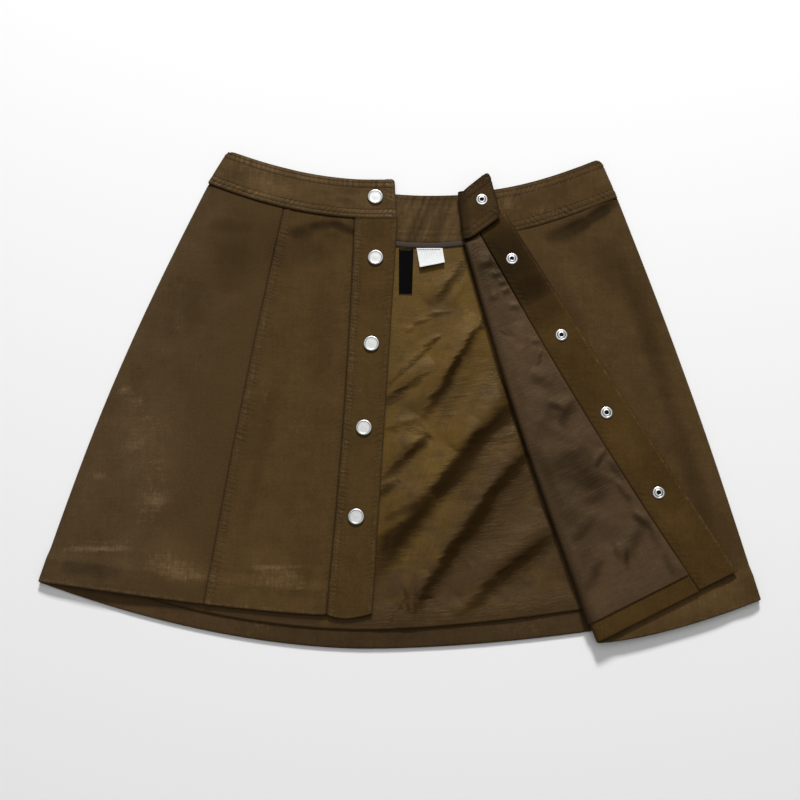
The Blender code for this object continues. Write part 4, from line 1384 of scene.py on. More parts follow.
@dataclass
class BackHalf(Assembly):
    """Back panel, its lining, its waistband and the tape under the band."""

    cell: float = 1.6
    hem_cell: float = 2.2
    opening_start: float = 0.44
    opening_end: float = 0.80
    band_top: SewnEdge = SewnEdge((4.0,), 0.3, 0.4, 0.1, 6.0, 6.0, 0.0, 0.8, 0.0)
    band_foot: SewnEdge = SewnEdge((6.5, 11.0), 0.25, 0.4, 0.16, 5.0, 13.0, 0.15, 0.7, 0.0)
    panel_cut: ClassVar[Cut] = Cut(PLAN.right_side, PLAN.left_side, PLAN.back_waist.lowered(BAND_SEAM),
                                   PLAN.back_hem)
    lining_cut: ClassVar[Cut] = Cut(
        PLAN.right_side.moved(LINING_INSET), PLAN.left_side.moved(-LINING_INSET),
        PLAN.back_waist.lowered(BAND_SEAM), PLAN.back_lining_hem)
    band_cut: ClassVar[Cut] = Cut(PLAN.right_band_side, PLAN.left_band_side, PLAN.back_band_top,
                                  PLAN.back_waist)
    finishes: ClassVar[dict[str, Finish]] = {
        "back_panel": BACK_SUEDE, "back_lining": BACK_SATIN, "back_waistband": INNER_BAND_SUEDE,
        "waist_tape": TAPE_RIBBON}

    def build(self) -> None:
        """Builds the four pieces."""
        self.pieces.update(back_panel=self._panel(), back_lining=self._lining(),
                           back_waistband=self._band(), waist_tape=self._tape())

    def _panel(self) -> Object:
        """Flat panel with its hem turned up inside."""
        allowance = round(HEM / self.hem_cell)
        hem_rows = np.arange(allowance + 4, -1, -1) * self.hem_cell
        down = np.concatenate((np.linspace(0.0, 1.0 - (hem_rows[0] + 6.0) / PANEL_LENGTH, 14),
                               1.0 - hem_rows / PANEL_LENGTH))
        place = self.panel_cut.grid(np.linspace(0.0, 1.0, 200), down)
        points = turned_up(place.at(np.full_like(place.x, BACK_MID)), 1.0, allowance)
        turned = points.shape[0] - place.x.shape[0]
        lift = np.concatenate((np.zeros(place.x.shape[0]), np.linspace(0.0, 1.0, turned) ** 0.5))
        x, y = points[..., 0], points[..., 1]
        points[..., 2] += 0.25 * np.abs(uneven(x, y, 24.0, 40.0, 11)) * lift[:, None]
        wear = np.clip(0.12 + 0.3 * uneven(x, y, 60.0, 9.0, 12), 0.0, 1.0)
        # Painted light towards the left, where the right front's hem shades the back, and random tone
        shade = 0.1 + 0.2 * uneven(x, y, 50.0, 12.0, 13) - 0.55 * soft(x, -110.0, -230.0)
        return ClothPiece("back_panel", "suede", points, SUEDE_WALL, ("floor",),
                          masks={"wear": wear, "shade": shade}).made()

    def _lining(self) -> Object:
        """Satin that lies in deep diagonal folds between the fronts."""
        cut = self.lining_cut
        count = round((self.opening_end - self.opening_start) * cut.width(np.array(0.8)) / self.cell)
        shown = np.linspace(self.opening_start, self.opening_end, count)
        across = np.concatenate((np.linspace(0.0, self.opening_start, 16)[:-1], shown,
                                 np.linspace(self.opening_end, 1.0, 8)[1:]))
        place = cut.grid(across, np.linspace(0.0, 1.0, round(PANEL_LENGTH / self.cell)))
        flat_x, y = place.x, place.y
        from_front = flat_x - PLAN.right_placket_edge.x_at(place.fall)
        from_fold = PLAN.fold.x_at(place.fall) - flat_x
        open_here = soft(from_front, -3.0, 13.0) * soft(from_fold, -1.0, 13.0)
        loose = open_here * soft(place.fall, 0.05, 0.16)
        above_edge = (1.0 - place.fall) * (PANEL_LENGTH - LINING_SHORT)
        over_hem = soft(above_edge, 30.0, 5.0)
        x = flat_x + 0.7 * uneven(flat_x, y, 30.0, 3.6, 21) + 1.4 * uneven(flat_x, y, 34.0, 17.0, 22)
        folds = relief(x, y, BACK_FOLDS) + relief(x, y, BACK_CREASES)
        crumple = 0.2 * uneven(flat_x, y, 9.0, 6.0, 23) + 0.35 * uneven(flat_x, y, 30.0, 42.0, 24)
        height = LINING_MID + (LINING_HEM_MID - LINING_MID) * over_hem
        height = height + np.maximum(folds + crumple, -0.2) * loose
        billow = LINING_HEM_BILLOW * (1.0 + 0.5 * uneven(flat_x, y, 36.0, 900.0, 25))
        height = height + billow * bump_at(above_edge, 0.0, 14.0) * open_here
        torn_x = x + 2.4 * uneven(flat_x, y, 26.0, 3.3, 26) + 1.2 * uneven(flat_x, y, 15.0, 1.9, 27)
        # Painted shade: fold sides away from the light, the flap's shadow beside the fold, the line under the
        # loose hem, and a band that tones down the lit slope above it
        shade = marked(torn_x, y, BACK_FLANKS) * soft(place.fall, 0.0, 0.03)
        beside_fold = np.maximum(from_fold, 0.0)
        shade = np.maximum.reduce((shade, 0.75 * fading(beside_fold, 9.0) * soft(y, 60.0, -10.0),
                                   fading(beside_fold, 2.6), fading(above_edge, 1.2),
                                   0.3 * bump_at(above_edge, 9.0, 9.0)))
        feather = 4.0 * shade * (1.0 - shade)
        # Where the painted sheen gives way to duller brown: towards the right and the hem, and at random
        dull = (0.12 + soft(flat_x - 0.45 * y, 70.0, 160.0) + 0.9 * soft(y, -150.0, -205.0)
                + 0.2 * uneven(flat_x, y, 40.0, 55.0, 28))
        return ClothPiece("back_lining", "satin", place.at(height), LINING_WALL,
                          ("back_panel_suede",), edge=0.12,
                          masks={"shade": shade, "feather": feather, "dull": np.clip(dull, 0.0, 1.0)}).made()

    def _band(self) -> Object:
        """Back waistband, inside up, with its stitch rows and upright puckers."""
        place = self.band_cut.meshed(0.5, (1.4, 1.0, 4.0), BAND_HEIGHT, (1.2, 0.6, 4.0))
        along = place.from_left
        down = place.fall * BAND_HEIGHT
        height, wear, shade = sewn(along, (self.band_top, down, 31), (self.band_foot, BAND_HEIGHT - down, 33))
        upright = 0.3 * uneven(along, down, 3.4, 26.0, 35) + 0.25 * uneven(along, down, 10.0, 40.0, 36)
        height = np.maximum(BAND_WALL / 2 + 0.2 + height + upright * soft(down, 3.0, 12.0), BAND_WALL / 2)
        wear = wear + 0.15 + 0.3 * uneven(along, down, 14.0, 12.0, 37)
        # Painted light and shade that follow the upright puckers, and random tone
        shade = (shade + 0.1 + 0.6 * uneven(along, down, 3.4, 26.0, 35)
                 + 0.3 * uneven(along, down, 24.0, 40.0, 38))
        return ClothPiece("back_waistband", "suede", place.at(height), BAND_WALL,
                          ("floor",), edge=0.9,
                          masks={"wear": np.clip(wear, 0.0, 1.0), "shade": shade}).made()

    def _tape(self) -> Object:
        """Binding tape that closes the waist seam inside."""
        left = PLAN.right_side.top_x + TAPE_INSET
        right = PLAN.left_side.top_x - TAPE_INSET
        cut = Cut(Rail(left, left), Rail(right, right), PLAN.back_waist.lowered(BAND_SEAM - 0.6),
                  PLAN.back_waist.lowered(BAND_SEAM + TAPE_WIDTH))
        folded = np.concatenate((np.linspace(0.0, 1.0, 7), np.linspace(1.0, 0.0, 7)))
        place = cut.grid(fractions(right - left, 1.8, 1.0, 4.0), folded)
        upper = np.repeat((0.0, 1.0), 7)[:, None]
        height = (LINING_TOP + GAP + LABEL / 2 + 0.6 * (upper - 0.5)
                  + 0.25 * np.sin(math.pi * place.fall) * (upper + 0.3)
                  + 0.1 * uneven(place.x, place.y, 6.0, 30.0, 41))
        return ClothPiece("waist_tape", "ribbon", place.at(height), 0.35,
                          ("back_lining_satin",), held="folded", edge=0.1,
                          masks={"shade": np.zeros_like(height)}).made()


# ------------------------ labels

@dataclass
class Labels(Assembly):
    """The two bare labels that hang from the tape."""

    cell: float = 1.0
    finishes: ClassVar[dict[str, Finish]] = {"woven_label": DARK_RIBBON, "care_label": PALE_RIBBON}

    def build(self) -> None:
        """Builds both labels."""
        self.pieces.update(woven_label=self._label("woven_label", WOVEN_LABEL, 51),
                           care_label=self._label("care_label", CARE_LABEL, 57))

    def _label(self, node: str, label: LabelCut, seed: int) -> Object:
        """One label, slightly wavy.

        Args:
            node: CAD node that it stands for.
            label: Its outline.
            seed: Seed of its waves.

        Returns:
            The piece.
        """
        foot = Edge(label.foot_left, label.foot_y, right_span=label.foot_right - label.foot_left,
                    right_rise=label.foot_rise)
        cut = Cut(Rail(label.top_left, label.foot_left), Rail(label.top_right, label.foot_right),
                  Edge(0.0, label.top_y), foot)
        across = np.linspace(0.0, 1.0, round((label.top_right - label.top_left) / self.cell))
        down = np.linspace(0.0, 1.0, round((label.top_y - label.foot_y) / self.cell))
        place = cut.grid(across, down)
        height = (LINING_TOP + GAP + LABEL / 2 + label.curl * place.fall ** 2
                  + 0.22 * uneven(place.x, place.y, 9.0, 13.0, seed) * soft(place.fall, 0.0, 0.3)
                  + 0.25 * (2.0 * place.share - 1.0) ** 2 * place.fall)
        return ClothPiece(node, "ribbon", place.at(height), LABEL_WALL,
                          ("back_lining_satin", "waist_tape_ribbon"), edge=0.12,
                          masks={"shade": np.zeros_like(height)}).made()


# ------------------------ the right front

@dataclass
class RightFront(Assembly):
    """Right front with its two panels, placket and waistband, all outside up."""

    cell: float = 2.2
    fine: float = 0.9
    plain: SewnEdge = SewnEdge((), 0.0, 0.0, 0.08, 5.0, 4.0, 0.0, 0.3)
    beside_placket: SewnEdge = SewnEdge((), 0.0, 0.0, 0.22, 4.0, 2.5, 0.0, 0.6)
    seam: SewnEdge = SewnEdge((1.8, 7.6), 0.35, 0.35, 0.34, 4.2, 8.5, 0.45, 0.75)
    placket_seam: SewnEdge = SewnEdge((1.8, 6.4), 0.25, 0.3, 0.3, 4.0, 6.5, 0.45, 0.9)
    placket_edge: SewnEdge = SewnEdge((4.0,), 0.2, 0.25, 0.2, 4.4, 5.0, 0.25, 0.6)
    band_edge: SewnEdge = SewnEdge((3.5, 8.5), 0.4, 0.5, 0.28, 4.8, 8.0, 0.65, 0.75, -0.4)
    top: ClassVar[Edge] = PLAN.right_waist.lowered(BAND_SEAM * 0.6)
    side_cut: ClassVar[Cut] = Cut(PLAN.right_side, PLAN.right_seam.moved(-SEAM / 4), top, PLAN.right_hem)
    centre_cut: ClassVar[Cut] = Cut(
        PLAN.right_seam.moved(SEAM / 4), PLAN.right_placket_seam.moved(-SEAM / 4), top, PLAN.right_hem)
    placket_cut: ClassVar[Cut] = Cut(
        PLAN.right_placket_seam.moved(SEAM / 4), PLAN.right_placket_edge, top, PLAN.right_hem)
    band_cut: ClassVar[Cut] = Cut(PLAN.right_band_side, PLAN.right_band_end, PLAN.right_band_top,
                                  PLAN.right_waist, (7.0, 3.0, 0.0, 1.5))
    finishes: ClassVar[dict[str, Finish]] = {
        "right_side_front": FRONT_SUEDE, "right_centre_front": CENTRE_SUEDE,
        "right_placket": PLACKET_SUEDE, "right_waistband": BAND_SUEDE}

    def build(self) -> None:
        """Builds the four pieces."""
        self.pieces.update(right_side_front=self._side(), right_centre_front=self._centre(),
                           right_placket=self._placket(), right_waistband=self._band())

    def _panel(self, node: str, place: Place, height: Array, wear: Array, shade: Array) -> Object:
        """One panel, rubbed along the edge and the top of its hem."""
        hem = 0.45 * bump_at(place.above_hem, 0.0, 3.0) + 0.25 * bump_at(place.above_hem, HEM, 5.0)
        return front_panel(node, place, height, wear + hem, shade, RIGHT_SHADES)

    def _side(self) -> Object:
        """Side panel, which rolls down to the side seam."""
        place = self.side_cut.meshed(0.6, (self.cell, self.fine, 6.0), PANEL_LENGTH, (self.cell, 1.4, 24.0))
        height, wear, shade = self.plain.at(place.from_right, place.y, 64)
        height = height + right_height(place, place.share) + soft_hand(place, 61)
        return self._panel("right_side_front", place, height, wear, shade)

    def _centre(self) -> Object:
        """Centre panel, double stitched beside the front seam."""
        place = self.centre_cut.meshed(0.6, (self.cell, self.fine, 12.0), PANEL_LENGTH, (1.4, 1.4, 24.0))
        height, wear, shade = sewn(place.y, (self.seam, place.from_left, 70),
                                   (self.beside_placket, place.from_right, 73))
        height = (height + right_height(place, np.ones_like(place.x)) + soft_hand(place, 67)
                  + 0.3 * soft(place.from_left, 10.0, 7.0))
        for mark in SNAP_MARKS:
            away = np.hypot(place.x - mark.x, place.y - mark.y)
            height -= 0.6 * mark.strength * bump_at(away, STUD_RADIUS, 1.6)
        return self._panel("right_centre_front", place, height, wear, shade)

    def _placket(self) -> Object:
        """Placket with its stitch rows and the snaps' seats."""
        place = self.placket_cut.meshed(0.5, (1.6, 0.8, 8.0), PANEL_LENGTH, (1.3, 0.9, 4.0))
        droop = 4.4 * np.sin(math.pi * place.share ** 0.8) * ramp(place.fall, 0.9, 1.0)
        place = replace(place, y=place.y - droop)
        height, wear, shade = sewn(place.y, (self.placket_seam, place.from_left, 79),
                                   (self.placket_edge, place.from_right, 82))
        height = (height + PLACKET_MID + PLACKET_HEM_RISE * ramp(place.fall, 0.88, 0.98)
                  + 0.45 * soft_hand(place, 76) + snap_seats(place, CAPS[1:], CAP_RADIUS)
                  - 0.4 * fading(place.drop, 3.0))
        # Painted shade and light on the placket, with the painted shadow under the waistband
        shade = shade + band_shadow(place) + marked(place.x, place.y, PLACKET_SHADES, -0.6)
        return ClothPiece("right_placket", "suede", place.at(height), PLACKET_WALL,
                          ("back_lining_satin",), edge=0.8,
                          masks={"wear": wear + 0.1, "shade": shade}).made()

    def _band(self) -> Object:
        """Waistband, double stitched all round and puckered between the rows."""
        place = self.band_cut.meshed(0.5, (1.2, 0.9, 10.0), BAND_HEIGHT, (1.4, 0.7, 10.5))
        height, wear, shade = band_form(place, self.band_edge, 85, self.band_edge)
        height = (height + BAND_MID - BAND_END_DROP * (1.0 - soft(place.share, 0.0, 0.08))
                  + snap_seats(place, CAPS[:1], CAP_RADIUS) + relief(place.x, place.y, RIGHT_BAND_CREASES))
        # Painted shade and light on the band
        shade = shade + marked(place.x, place.y, RIGHT_BAND_SHADES, -0.6)
        return ClothPiece("right_waistband", "suede", place.at(height), BAND_WALL,
                          ("back_waistband_suede",), edge=0.9,
                          masks={"wear": np.clip(wear, 0.0, 1.0), "shade": shade}).made()


def band_shadow(place: Place) -> Array:
    """Painted shadow where a panel goes under the waistband."""
    return 0.8 * fading(place.drop, 1.2) + 0.25 * fading(place.drop, 6.0)


def front_panel(node: str, place: Place, height: Array, wear: Array, shade: Array,
                shades: Sequence["Flank | Spot"]) -> Object:
    """A front's panel: hollow under the waistband, its hem turned up, warmer near the front seam.

    Args:
        node: CAD node that it stands for.
        place: Where its points are.
        height: Their heights before that.
        wear: Wear beside its seams and hem.
        shade: Painted shade beside its seams.
        shades: Painted shade and light on its nap, partly the nap's own tone.

    Returns:
        The piece.
    """
    height = (height - 0.4 * fading(place.drop, 1.2) - 0.45 * fading(place.drop, 5.0)
              + 0.25 * bump_at(place.above_hem, HEM + 1.5, 2.0))
    points = turned_up(place.at(height), -1.0, int((place.above_hem[:, 0] < HEM).sum()) - 1)
    x, y = points[..., 0], points[..., 1]
    turned = ((0, len(x) - len(place.x)), (0, 0))
    wear = np.pad(wear, turned, "edge") + marked(x, y, RUBBED)
    shade = np.pad(shade + band_shadow(place), turned, "edge") + 1.2 * marked(x, y, shades, -0.6)
    from_seam = x - np.pad(PLAN.right_seam.x_at(place.fall), turned, "edge")
    warmth = 0.75 * soft(from_seam, -95.0, -4.0) * soft(from_seam, 6.0, -1.0)
    masks = {"wear": np.clip(wear, 0.0, 1.0), "shade": shade, "warmth": warmth}
    return ClothPiece(node, "suede", points, SUEDE_WALL, ("back_lining_satin",), masks=masks).made()


def band_form(place: Place, sewing: SewnEdge, seed: int, end: SewnEdge) -> tuple[Array, Array, Array]:
    """Form of a waistband: stitched along its edges and its end, with soft dents between.

    Args:
        place: Where its points are.
        sewing: Its upper and lower edges.
        seed: Seed of its unevenness.
        end: Its right end.

    Returns:
        Height to add, wear, and painted shade with some random tone at each point.
    """
    along, down = place.from_left, place.fall * BAND_HEIGHT
    height, wear, shade = sewn(along, (sewing, down, seed + 2), (sewing, BAND_HEIGHT - down, seed + 4))
    height = (height + 0.3 * uneven(along, down, 26.0, 20.0, seed)
              + 0.15 * uneven(along, down, 10.0, 9.0, seed + 1))
    wear = wear + 0.15 + 0.35 * uneven(along, down, 22.0, 9.0, seed + 6)
    shade = shade + 0.25 * uneven(along, down, 18.0, 12.0, seed + 8)
    end_height, end_wear, end_shade = end.at(place.from_right, place.y, seed + 5)
    return height + end_height, wear + end_wear, np.maximum(shade, end_shade)


# ------------------------ the left front

@dataclass
class LeftFront(Assembly):
    """Left front, folded back over itself, with its lining, placket and waistband."""

    cell: float = 2.2
    lining_cell: float = 1.7
    fine: float = 0.9
    facing_edge: SewnEdge = SewnEdge((), 0.0, 0.0, 0.06, 5.0, 5.0, 0.0, 0.95)
    band_edge: SewnEdge = SewnEdge((3.5, 8.5), 0.35, 0.45, 0.45, 4.5, 8.5, 0.2, 1.0, 0.8)
    tab_end_edge: SewnEdge = SewnEdge((3.0,), 0.35, 0.4, 0.15, 4.0, 4.0, 0.1, 0.8)
    side_cut: ClassVar[Cut] = Cut(PLAN.left_seam.moved(SEAM / 4), PLAN.left_side,
                                  PLAN.back_waist.lowered(BAND_SEAM * 0.6), PLAN.left_hem)
    hidden_cut: ClassVar[Cut] = Cut(PLAN.fold.moved(FOLD_REACH), PLAN.left_seam.moved(-SEAM / 4),
                                    PLAN.back_waist.lowered(FOLD_SEAM), PLAN.left_hem)
    flap_cut: ClassVar[Cut] = Cut(PLAN.fold.moved(FOLD_REACH), PLAN.left_placket_seam.moved(-SEAM / 4),
                                  PLAN.flap_waist, PLAN.flap_hem)
    placket_cut: ClassVar[Cut] = Cut(PLAN.left_placket_seam.moved(SEAM / 4), PLAN.left_placket_edge,
                                     PLAN.flap_waist, PLAN.flap_hem)
    band_cut: ClassVar[Cut] = Cut(
        PLAN.band_fold.moved(BAND_FOLD_REACH), PLAN.left_band_side, PLAN.left_band_top,
        PLAN.back_waist.lowered(FOLD_SEAM), (0.0, 6.0, 0.0, 0.0))
    tab_cut: ClassVar[Cut] = Cut(PLAN.band_fold.moved(BAND_FOLD_REACH), PLAN.tab_end, PLAN.tab_top,
                                 PLAN.tab_foot, (0.0, 5.0, 0.0, 4.0))
    finishes: ClassVar[dict[str, Finish]] = {
        "left_side_front": LEFT_SUEDE, "left_centre_front": FACING_SUEDE, "left_front_lining": FLAP_SATIN,
        "left_placket": FACING_SUEDE, "left_waistband": LEFT_BAND_SUEDE}

    def build(self) -> None:
        """Builds the five pieces."""
        self.pieces.update(left_side_front=self._side(), left_centre_front=self._centre(),
                           left_front_lining=self._lining(), left_placket=self._placket(),
                           left_waistband=self._band())

    def _side(self) -> Object:
        """Side panel, which rolls down to the side seam."""
        place = self.side_cut.meshed(0.6, (self.cell, self.fine, 8.0), PANEL_LENGTH, (self.cell, 1.4, 24.0))
        height = left_height(place) + soft_hand(place, 101)
        wear = 0.35 * bump_at(place.above_hem, 0.0, 3.0)
        return front_panel("left_side_front", place, height, wear, np.zeros_like(wear), LEFT_SHADES)

    def _layers(self, down: Array, low: Array, high: Array) -> tuple[Array, Place]:
        """Folded grid from shares of both layers that rise from the fold, and the upper one's places."""
        under, over = self.hidden_cut.grid(low, down), self.flap_cut.grid(high, down)
        return folded_grid(under.at(left_height(under)), over.at(flap_height(over, over.share))), over

    def _centre(self) -> Object:
        """Centre panel, bent round the fold, its hem allowance on top."""
        down = fractions(PANEL_LENGTH, 3.0, 1.6, 24.0)
        points, _ = self._layers(down, np.linspace(0.0, 1.0, 20), fractions(FLAP_WIDTH, 2.4, 1.2, 6.0))
        points = turned_up(points, 1.0, int(((1.0 - down) * PANEL_LENGTH < HEM).sum()) - 1)
        wear = np.clip(0.3 * uneven(points[..., 0], points[..., 1], 14.0, 9.0, 111), 0.0, 1.0)
        return ClothPiece("left_centre_front", "suede", points, SUEDE_WALL,
                          ("back_lining_satin", "left_side_front_suede"), held="folded",
                          masks={"wear": wear, "shade": np.zeros_like(wear)}).made()

    def _lining(self) -> Object:
        """Lining of the folded panel: small pulls at the placket and soft dents."""
        last = 1.0 - LINING_SHORT / PANEL_LENGTH
        down = np.linspace(0.0, last, round(PANEL_LENGTH / self.lining_cell))
        low = np.linspace(0.0, HIDDEN_LINING_END, 5)
        high = np.linspace(0.0, 1.0, round(FLAP_LINING_WIDTH / self.lining_cell))
        under, over = self._layers(down, low, high)
        above = (1.0 - down) * PANEL_LENGTH
        over_hem = soft(above, HEM + 24.0, HEM + 1.0)[:, None, None]
        away = SUEDE / 2 + GAP + LINING - LINING_WALL / 2 + (SUEDE + GAP) * over_hem
        points = under + grid_normals(under) * away
        top = points[:, len(low) + FOLD_COLUMNS:]
        y = top[..., 1]
        x = top[..., 0] + 0.7 * uneven(top[..., 0], y, 9.0, 5.0, 121)
        creases = (1.25 * relief(x, y, FLAP_CREASES) + 0.26 * uneven(x, y, 8.0, 7.0, 122)
                   + 0.3 * uneven(x, y, 19.0, 24.0, 123))
        from_seam = over.from_right
        pulls = 0.55 * uneven(y, from_seam, 6.5, 30.0, 124) * soft(from_seam, 16.0, 1.0)
        held = soft(from_seam, -0.5, 5.0) * soft(over.from_left, 0.0, 8.0)
        lift = np.maximum(creases, -0.25) * held + np.maximum(pulls, -0.2) * soft(from_seam, 0.0, 2.0)
        top[..., 2] += lift * soft(over.fall, last, last - 0.02)
        # Painted shade: the flap lining's creases and dents, the tab's shadow at its top, and a line along
        # the fold
        top_shade = marked(x + 1.6 * uneven(x, y, 12.0, 4.0, 126), y, FLAP_FLANKS)
        top_shade = np.maximum(top_shade, 0.5 * fading(over.from_left, 3.5))
        shade = folded_mask(np.zeros((len(down), len(low))), top_shade)
        dull = np.clip(0.5 + 0.5 * uneven(points[..., 0], points[..., 1], 26.0, 34.0, 125), 0.0, 1.0)
        return ClothPiece("left_front_lining", "satin", points, LINING_WALL,
                          ("left_centre_front_suede",), held="folded", edge=0.12,
                          masks={"shade": shade, "feather": 0.4 * shade, "dull": dull}).made()

    def _placket(self) -> Object:
        """Placket, inside up, with the studs' seats."""
        place = self.placket_cut.meshed(0.5, (1.6, 0.8, 6.0), PANEL_LENGTH, (1.8, 0.9, 4.0))
        height = flap_height(place, np.ones_like(place.x)) + (PLACKET - SUEDE) / 2
        height = height + 0.5 * soft_hand(place, 131) + relief(place.x, place.y, FACING_CREASES)
        seam_form, _, left_shade = self.facing_edge.at(place.from_left, place.y, 134)
        edge_form, _, right_shade = self.facing_edge.at(place.from_right, place.y, 137)
        height = height + seam_form + edge_form + snap_seats(place, STUDS[1:], STUD_RADIUS)
        # Pale line along the free edge: partly wear, partly painted highlight on the rounded edge
        wear = 0.5 * bump_at(place.from_right, 1.8, 0.9)
        # Painted shade along both edges, the tab's painted shadow at the top, and painted shade and light
        # below
        shade = left_shade + 0.3 * right_shade + 1.35 * marked(place.x, place.y, FACING_SHADES, -0.6)
        return ClothPiece("left_placket", "suede", place.at(height), PLACKET_WALL,
                          ("left_side_front_suede",), edge=0.8,
                          masks={"wear": wear, "shade": shade}).made()

    def _band(self) -> Object:
        """Waistband whose end is folded back over itself."""
        down = fractions(BAND_HEIGHT, 1.4, 0.7, 10.5)
        low = fractions(float(self.band_cut.width(np.array(0.5))), 1.1, 1.1, 6.0)
        under = self.band_cut.grid(low, down)
        over = self.tab_cut.grid(fractions(TAB_LENGTH, 1.2, 0.8, 6.0), down)
        height, low_wear, low_shade = band_form(under, self.band_edge, 141, NO_EDGE)
        height = BAND_MID - BAND_END_DROP * soft(under.share, 0.92, 1.0) + height * soft(
            under.from_left, 0.0, 6.0)
        tab, tab_wear, tab_shade = band_form(over, self.band_edge, 147, self.tab_end_edge)
        tab = TAB_MID + tab * soft(over.from_left, 0.0, 6.0) + snap_seats(over, STUDS[:1], STUD_RADIUS)
        points = folded_grid(under.at(height), over.at(tab))
        # Painted shade and light on the band; the tab darker all over, with a painted shadow along its fold
        low_shade = low_shade + marked(under.x, under.y, LEFT_BAND_SHADES, -0.6)
        tab_shade = 0.45 + tab_shade + 0.5 * fading(over.from_left, 3.0)
        wear = folded_mask(low_wear, 0.5 * tab_wear)
        shade = folded_mask(low_shade, tab_shade)
        return ClothPiece("left_waistband", "suede", points, BAND_WALL,
                          ("back_waistband_suede",), held="folded", edge=0.9,
                          masks={"wear": np.clip(wear, 0.0, 1.0), "shade": shade}).made()


# ------------------------ snaps

@dataclass(frozen=True)
class DiscStep:
    """One step of a round fitting's top: the face is inset, then moved."""

    inset: float
    rise: float
    # how much painted shade the step's groove or hole gets
    hollow: float = 0.0


@dataclass
class Snaps(Assembly):
    """Five caps on the right placket and band, five stud backs on the left ones."""

    finish: ClassVar[Finish] = PLATE
    segments: int = 48
    cap_height: float = 1.7
    cap_steps: tuple[DiscStep, ...] = (
        DiscStep(0.45, 0.5), DiscStep(0.5, 0.2), DiscStep(0.55, 0.0), DiscStep(0.3, -0.3, 0.3),
        DiscStep(0.5, -0.05), DiscStep(2.6, 0.08), DiscStep(1.6, 0.04))
    stud_height: float = 0.5
    stud_steps: tuple[DiscStep, ...] = (
        DiscStep(0.35, 0.45), DiscStep(0.6, 0.25), DiscStep(0.7, 0.0), DiscStep(0.35, -0.35, 0.9),
        DiscStep(0.35, 0.35), DiscStep(0.8, 0.25), DiscStep(0.55, 0.0), DiscStep(0.3, -0.4, 1.0),
        DiscStep(0.15, -1.0, 1.0))

    def build(self) -> None:
        """Models one cap and one stud, and puts a copy at each place."""
        cap = self._disc("cap", CAP_RADIUS, self.cap_height, self.cap_steps)
        stud = self._disc("stud", STUD_RADIUS, self.stud_height, self.stud_steps)
        for model, kind, spots in ((cap, "cap", CAPS), (stud, "stud", STUDS)):
            for number, spot in enumerate(spots, start=1):
                node = f"snap_{kind}_{number}"
                mesh = model.data.copy()
                mesh.transform(Matrix.Translation(Vector((spot.x, spot.y, spot.surface - SNAP_SUNK)) * MM))
                piece = bpy.data.objects.new(f"{node}_plate", mesh)
                bpy.context.scene.collection.objects.link(piece)
                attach(piece, ROOT)
                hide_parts(node)
                self.pieces[node] = piece
                LOG.info("%s: %d faces", piece.name, len(mesh.polygons))
            bpy.data.objects.remove(model)

    def _disc(self, name: str, radius: float, height: float,
              steps: Sequence[DiscStep]) -> Object:
        """Models a round fitting from a cylinder whose top is inset step by step.

        Args:
            name: Name of the model.
            radius: Its radius.
            height: Height of its side.
            steps: Steps of its top, from the rim to the middle.

        Returns:
            The model, at the origin.
        """
        deselect()
        bpy.ops.mesh.primitive_cylinder_add(vertices=self.segments, radius=radius * MM,
                                            depth=height * MM, location=(0.0, 0.0, height / 2 * MM))
        model = adopt(name)
        bpy.ops.object.transform_apply(location=True, rotation=True, scale=True)
        bpy.ops.object.mode_set(mode="EDIT")
        bpy.ops.mesh.select_mode(type="FACE")
        bpy.ops.mesh.select_all(action="DESELECT")
        bpy.ops.object.mode_set(mode="OBJECT")
        top = max(model.data.polygons, key=lambda face: face.center.z)
        top.select = True
        bpy.ops.object.mode_set(mode="EDIT")
        for step in steps:
            bpy.ops.mesh.inset(thickness=step.inset * MM)
            bpy.ops.transform.translate(value=(0.0, 0.0, step.rise * MM))
        bpy.ops.object.mode_set(mode="OBJECT")
        self._mark_hollows(model, radius, steps)
        apply_modifier(model, "BEVEL", width=0.16 * MM, segments=2, limit_method="ANGLE",
                       angle_limit=math.radians(20.0))
        bpy.ops.object.shade_smooth_by_angle(angle=math.radians(40.0))
        return model

    def _mark_hollows(self, model: Object, radius: float, steps: Sequence[DiscStep]) -> None:
        """Marks the grooves and the middle hole, where shade is painted, in a mesh attribute.

        Args:
            model: The fitting.
            radius: Its radius.
            steps: Steps of its top.
        """
        values = model.data.attributes.new("hollow", "FLOAT", "POINT").data
        rings = radius - np.cumsum([step.inset for step in steps])
        for vertex, value in zip(model.data.vertices, values):
            away = math.hypot(vertex.co.x, vertex.co.y) / MM
            nearest = int(np.argmin(np.abs(rings - away)))
            value.value = steps[nearest].hollow if abs(rings[nearest] - away) < 0.05 else 0.0


# ------------------------ sewing

@dataclass(frozen=True)
class StitchRow:
    """A row of stitches along a line on one piece."""

    piece: Object
    line: Array
    pitch: float


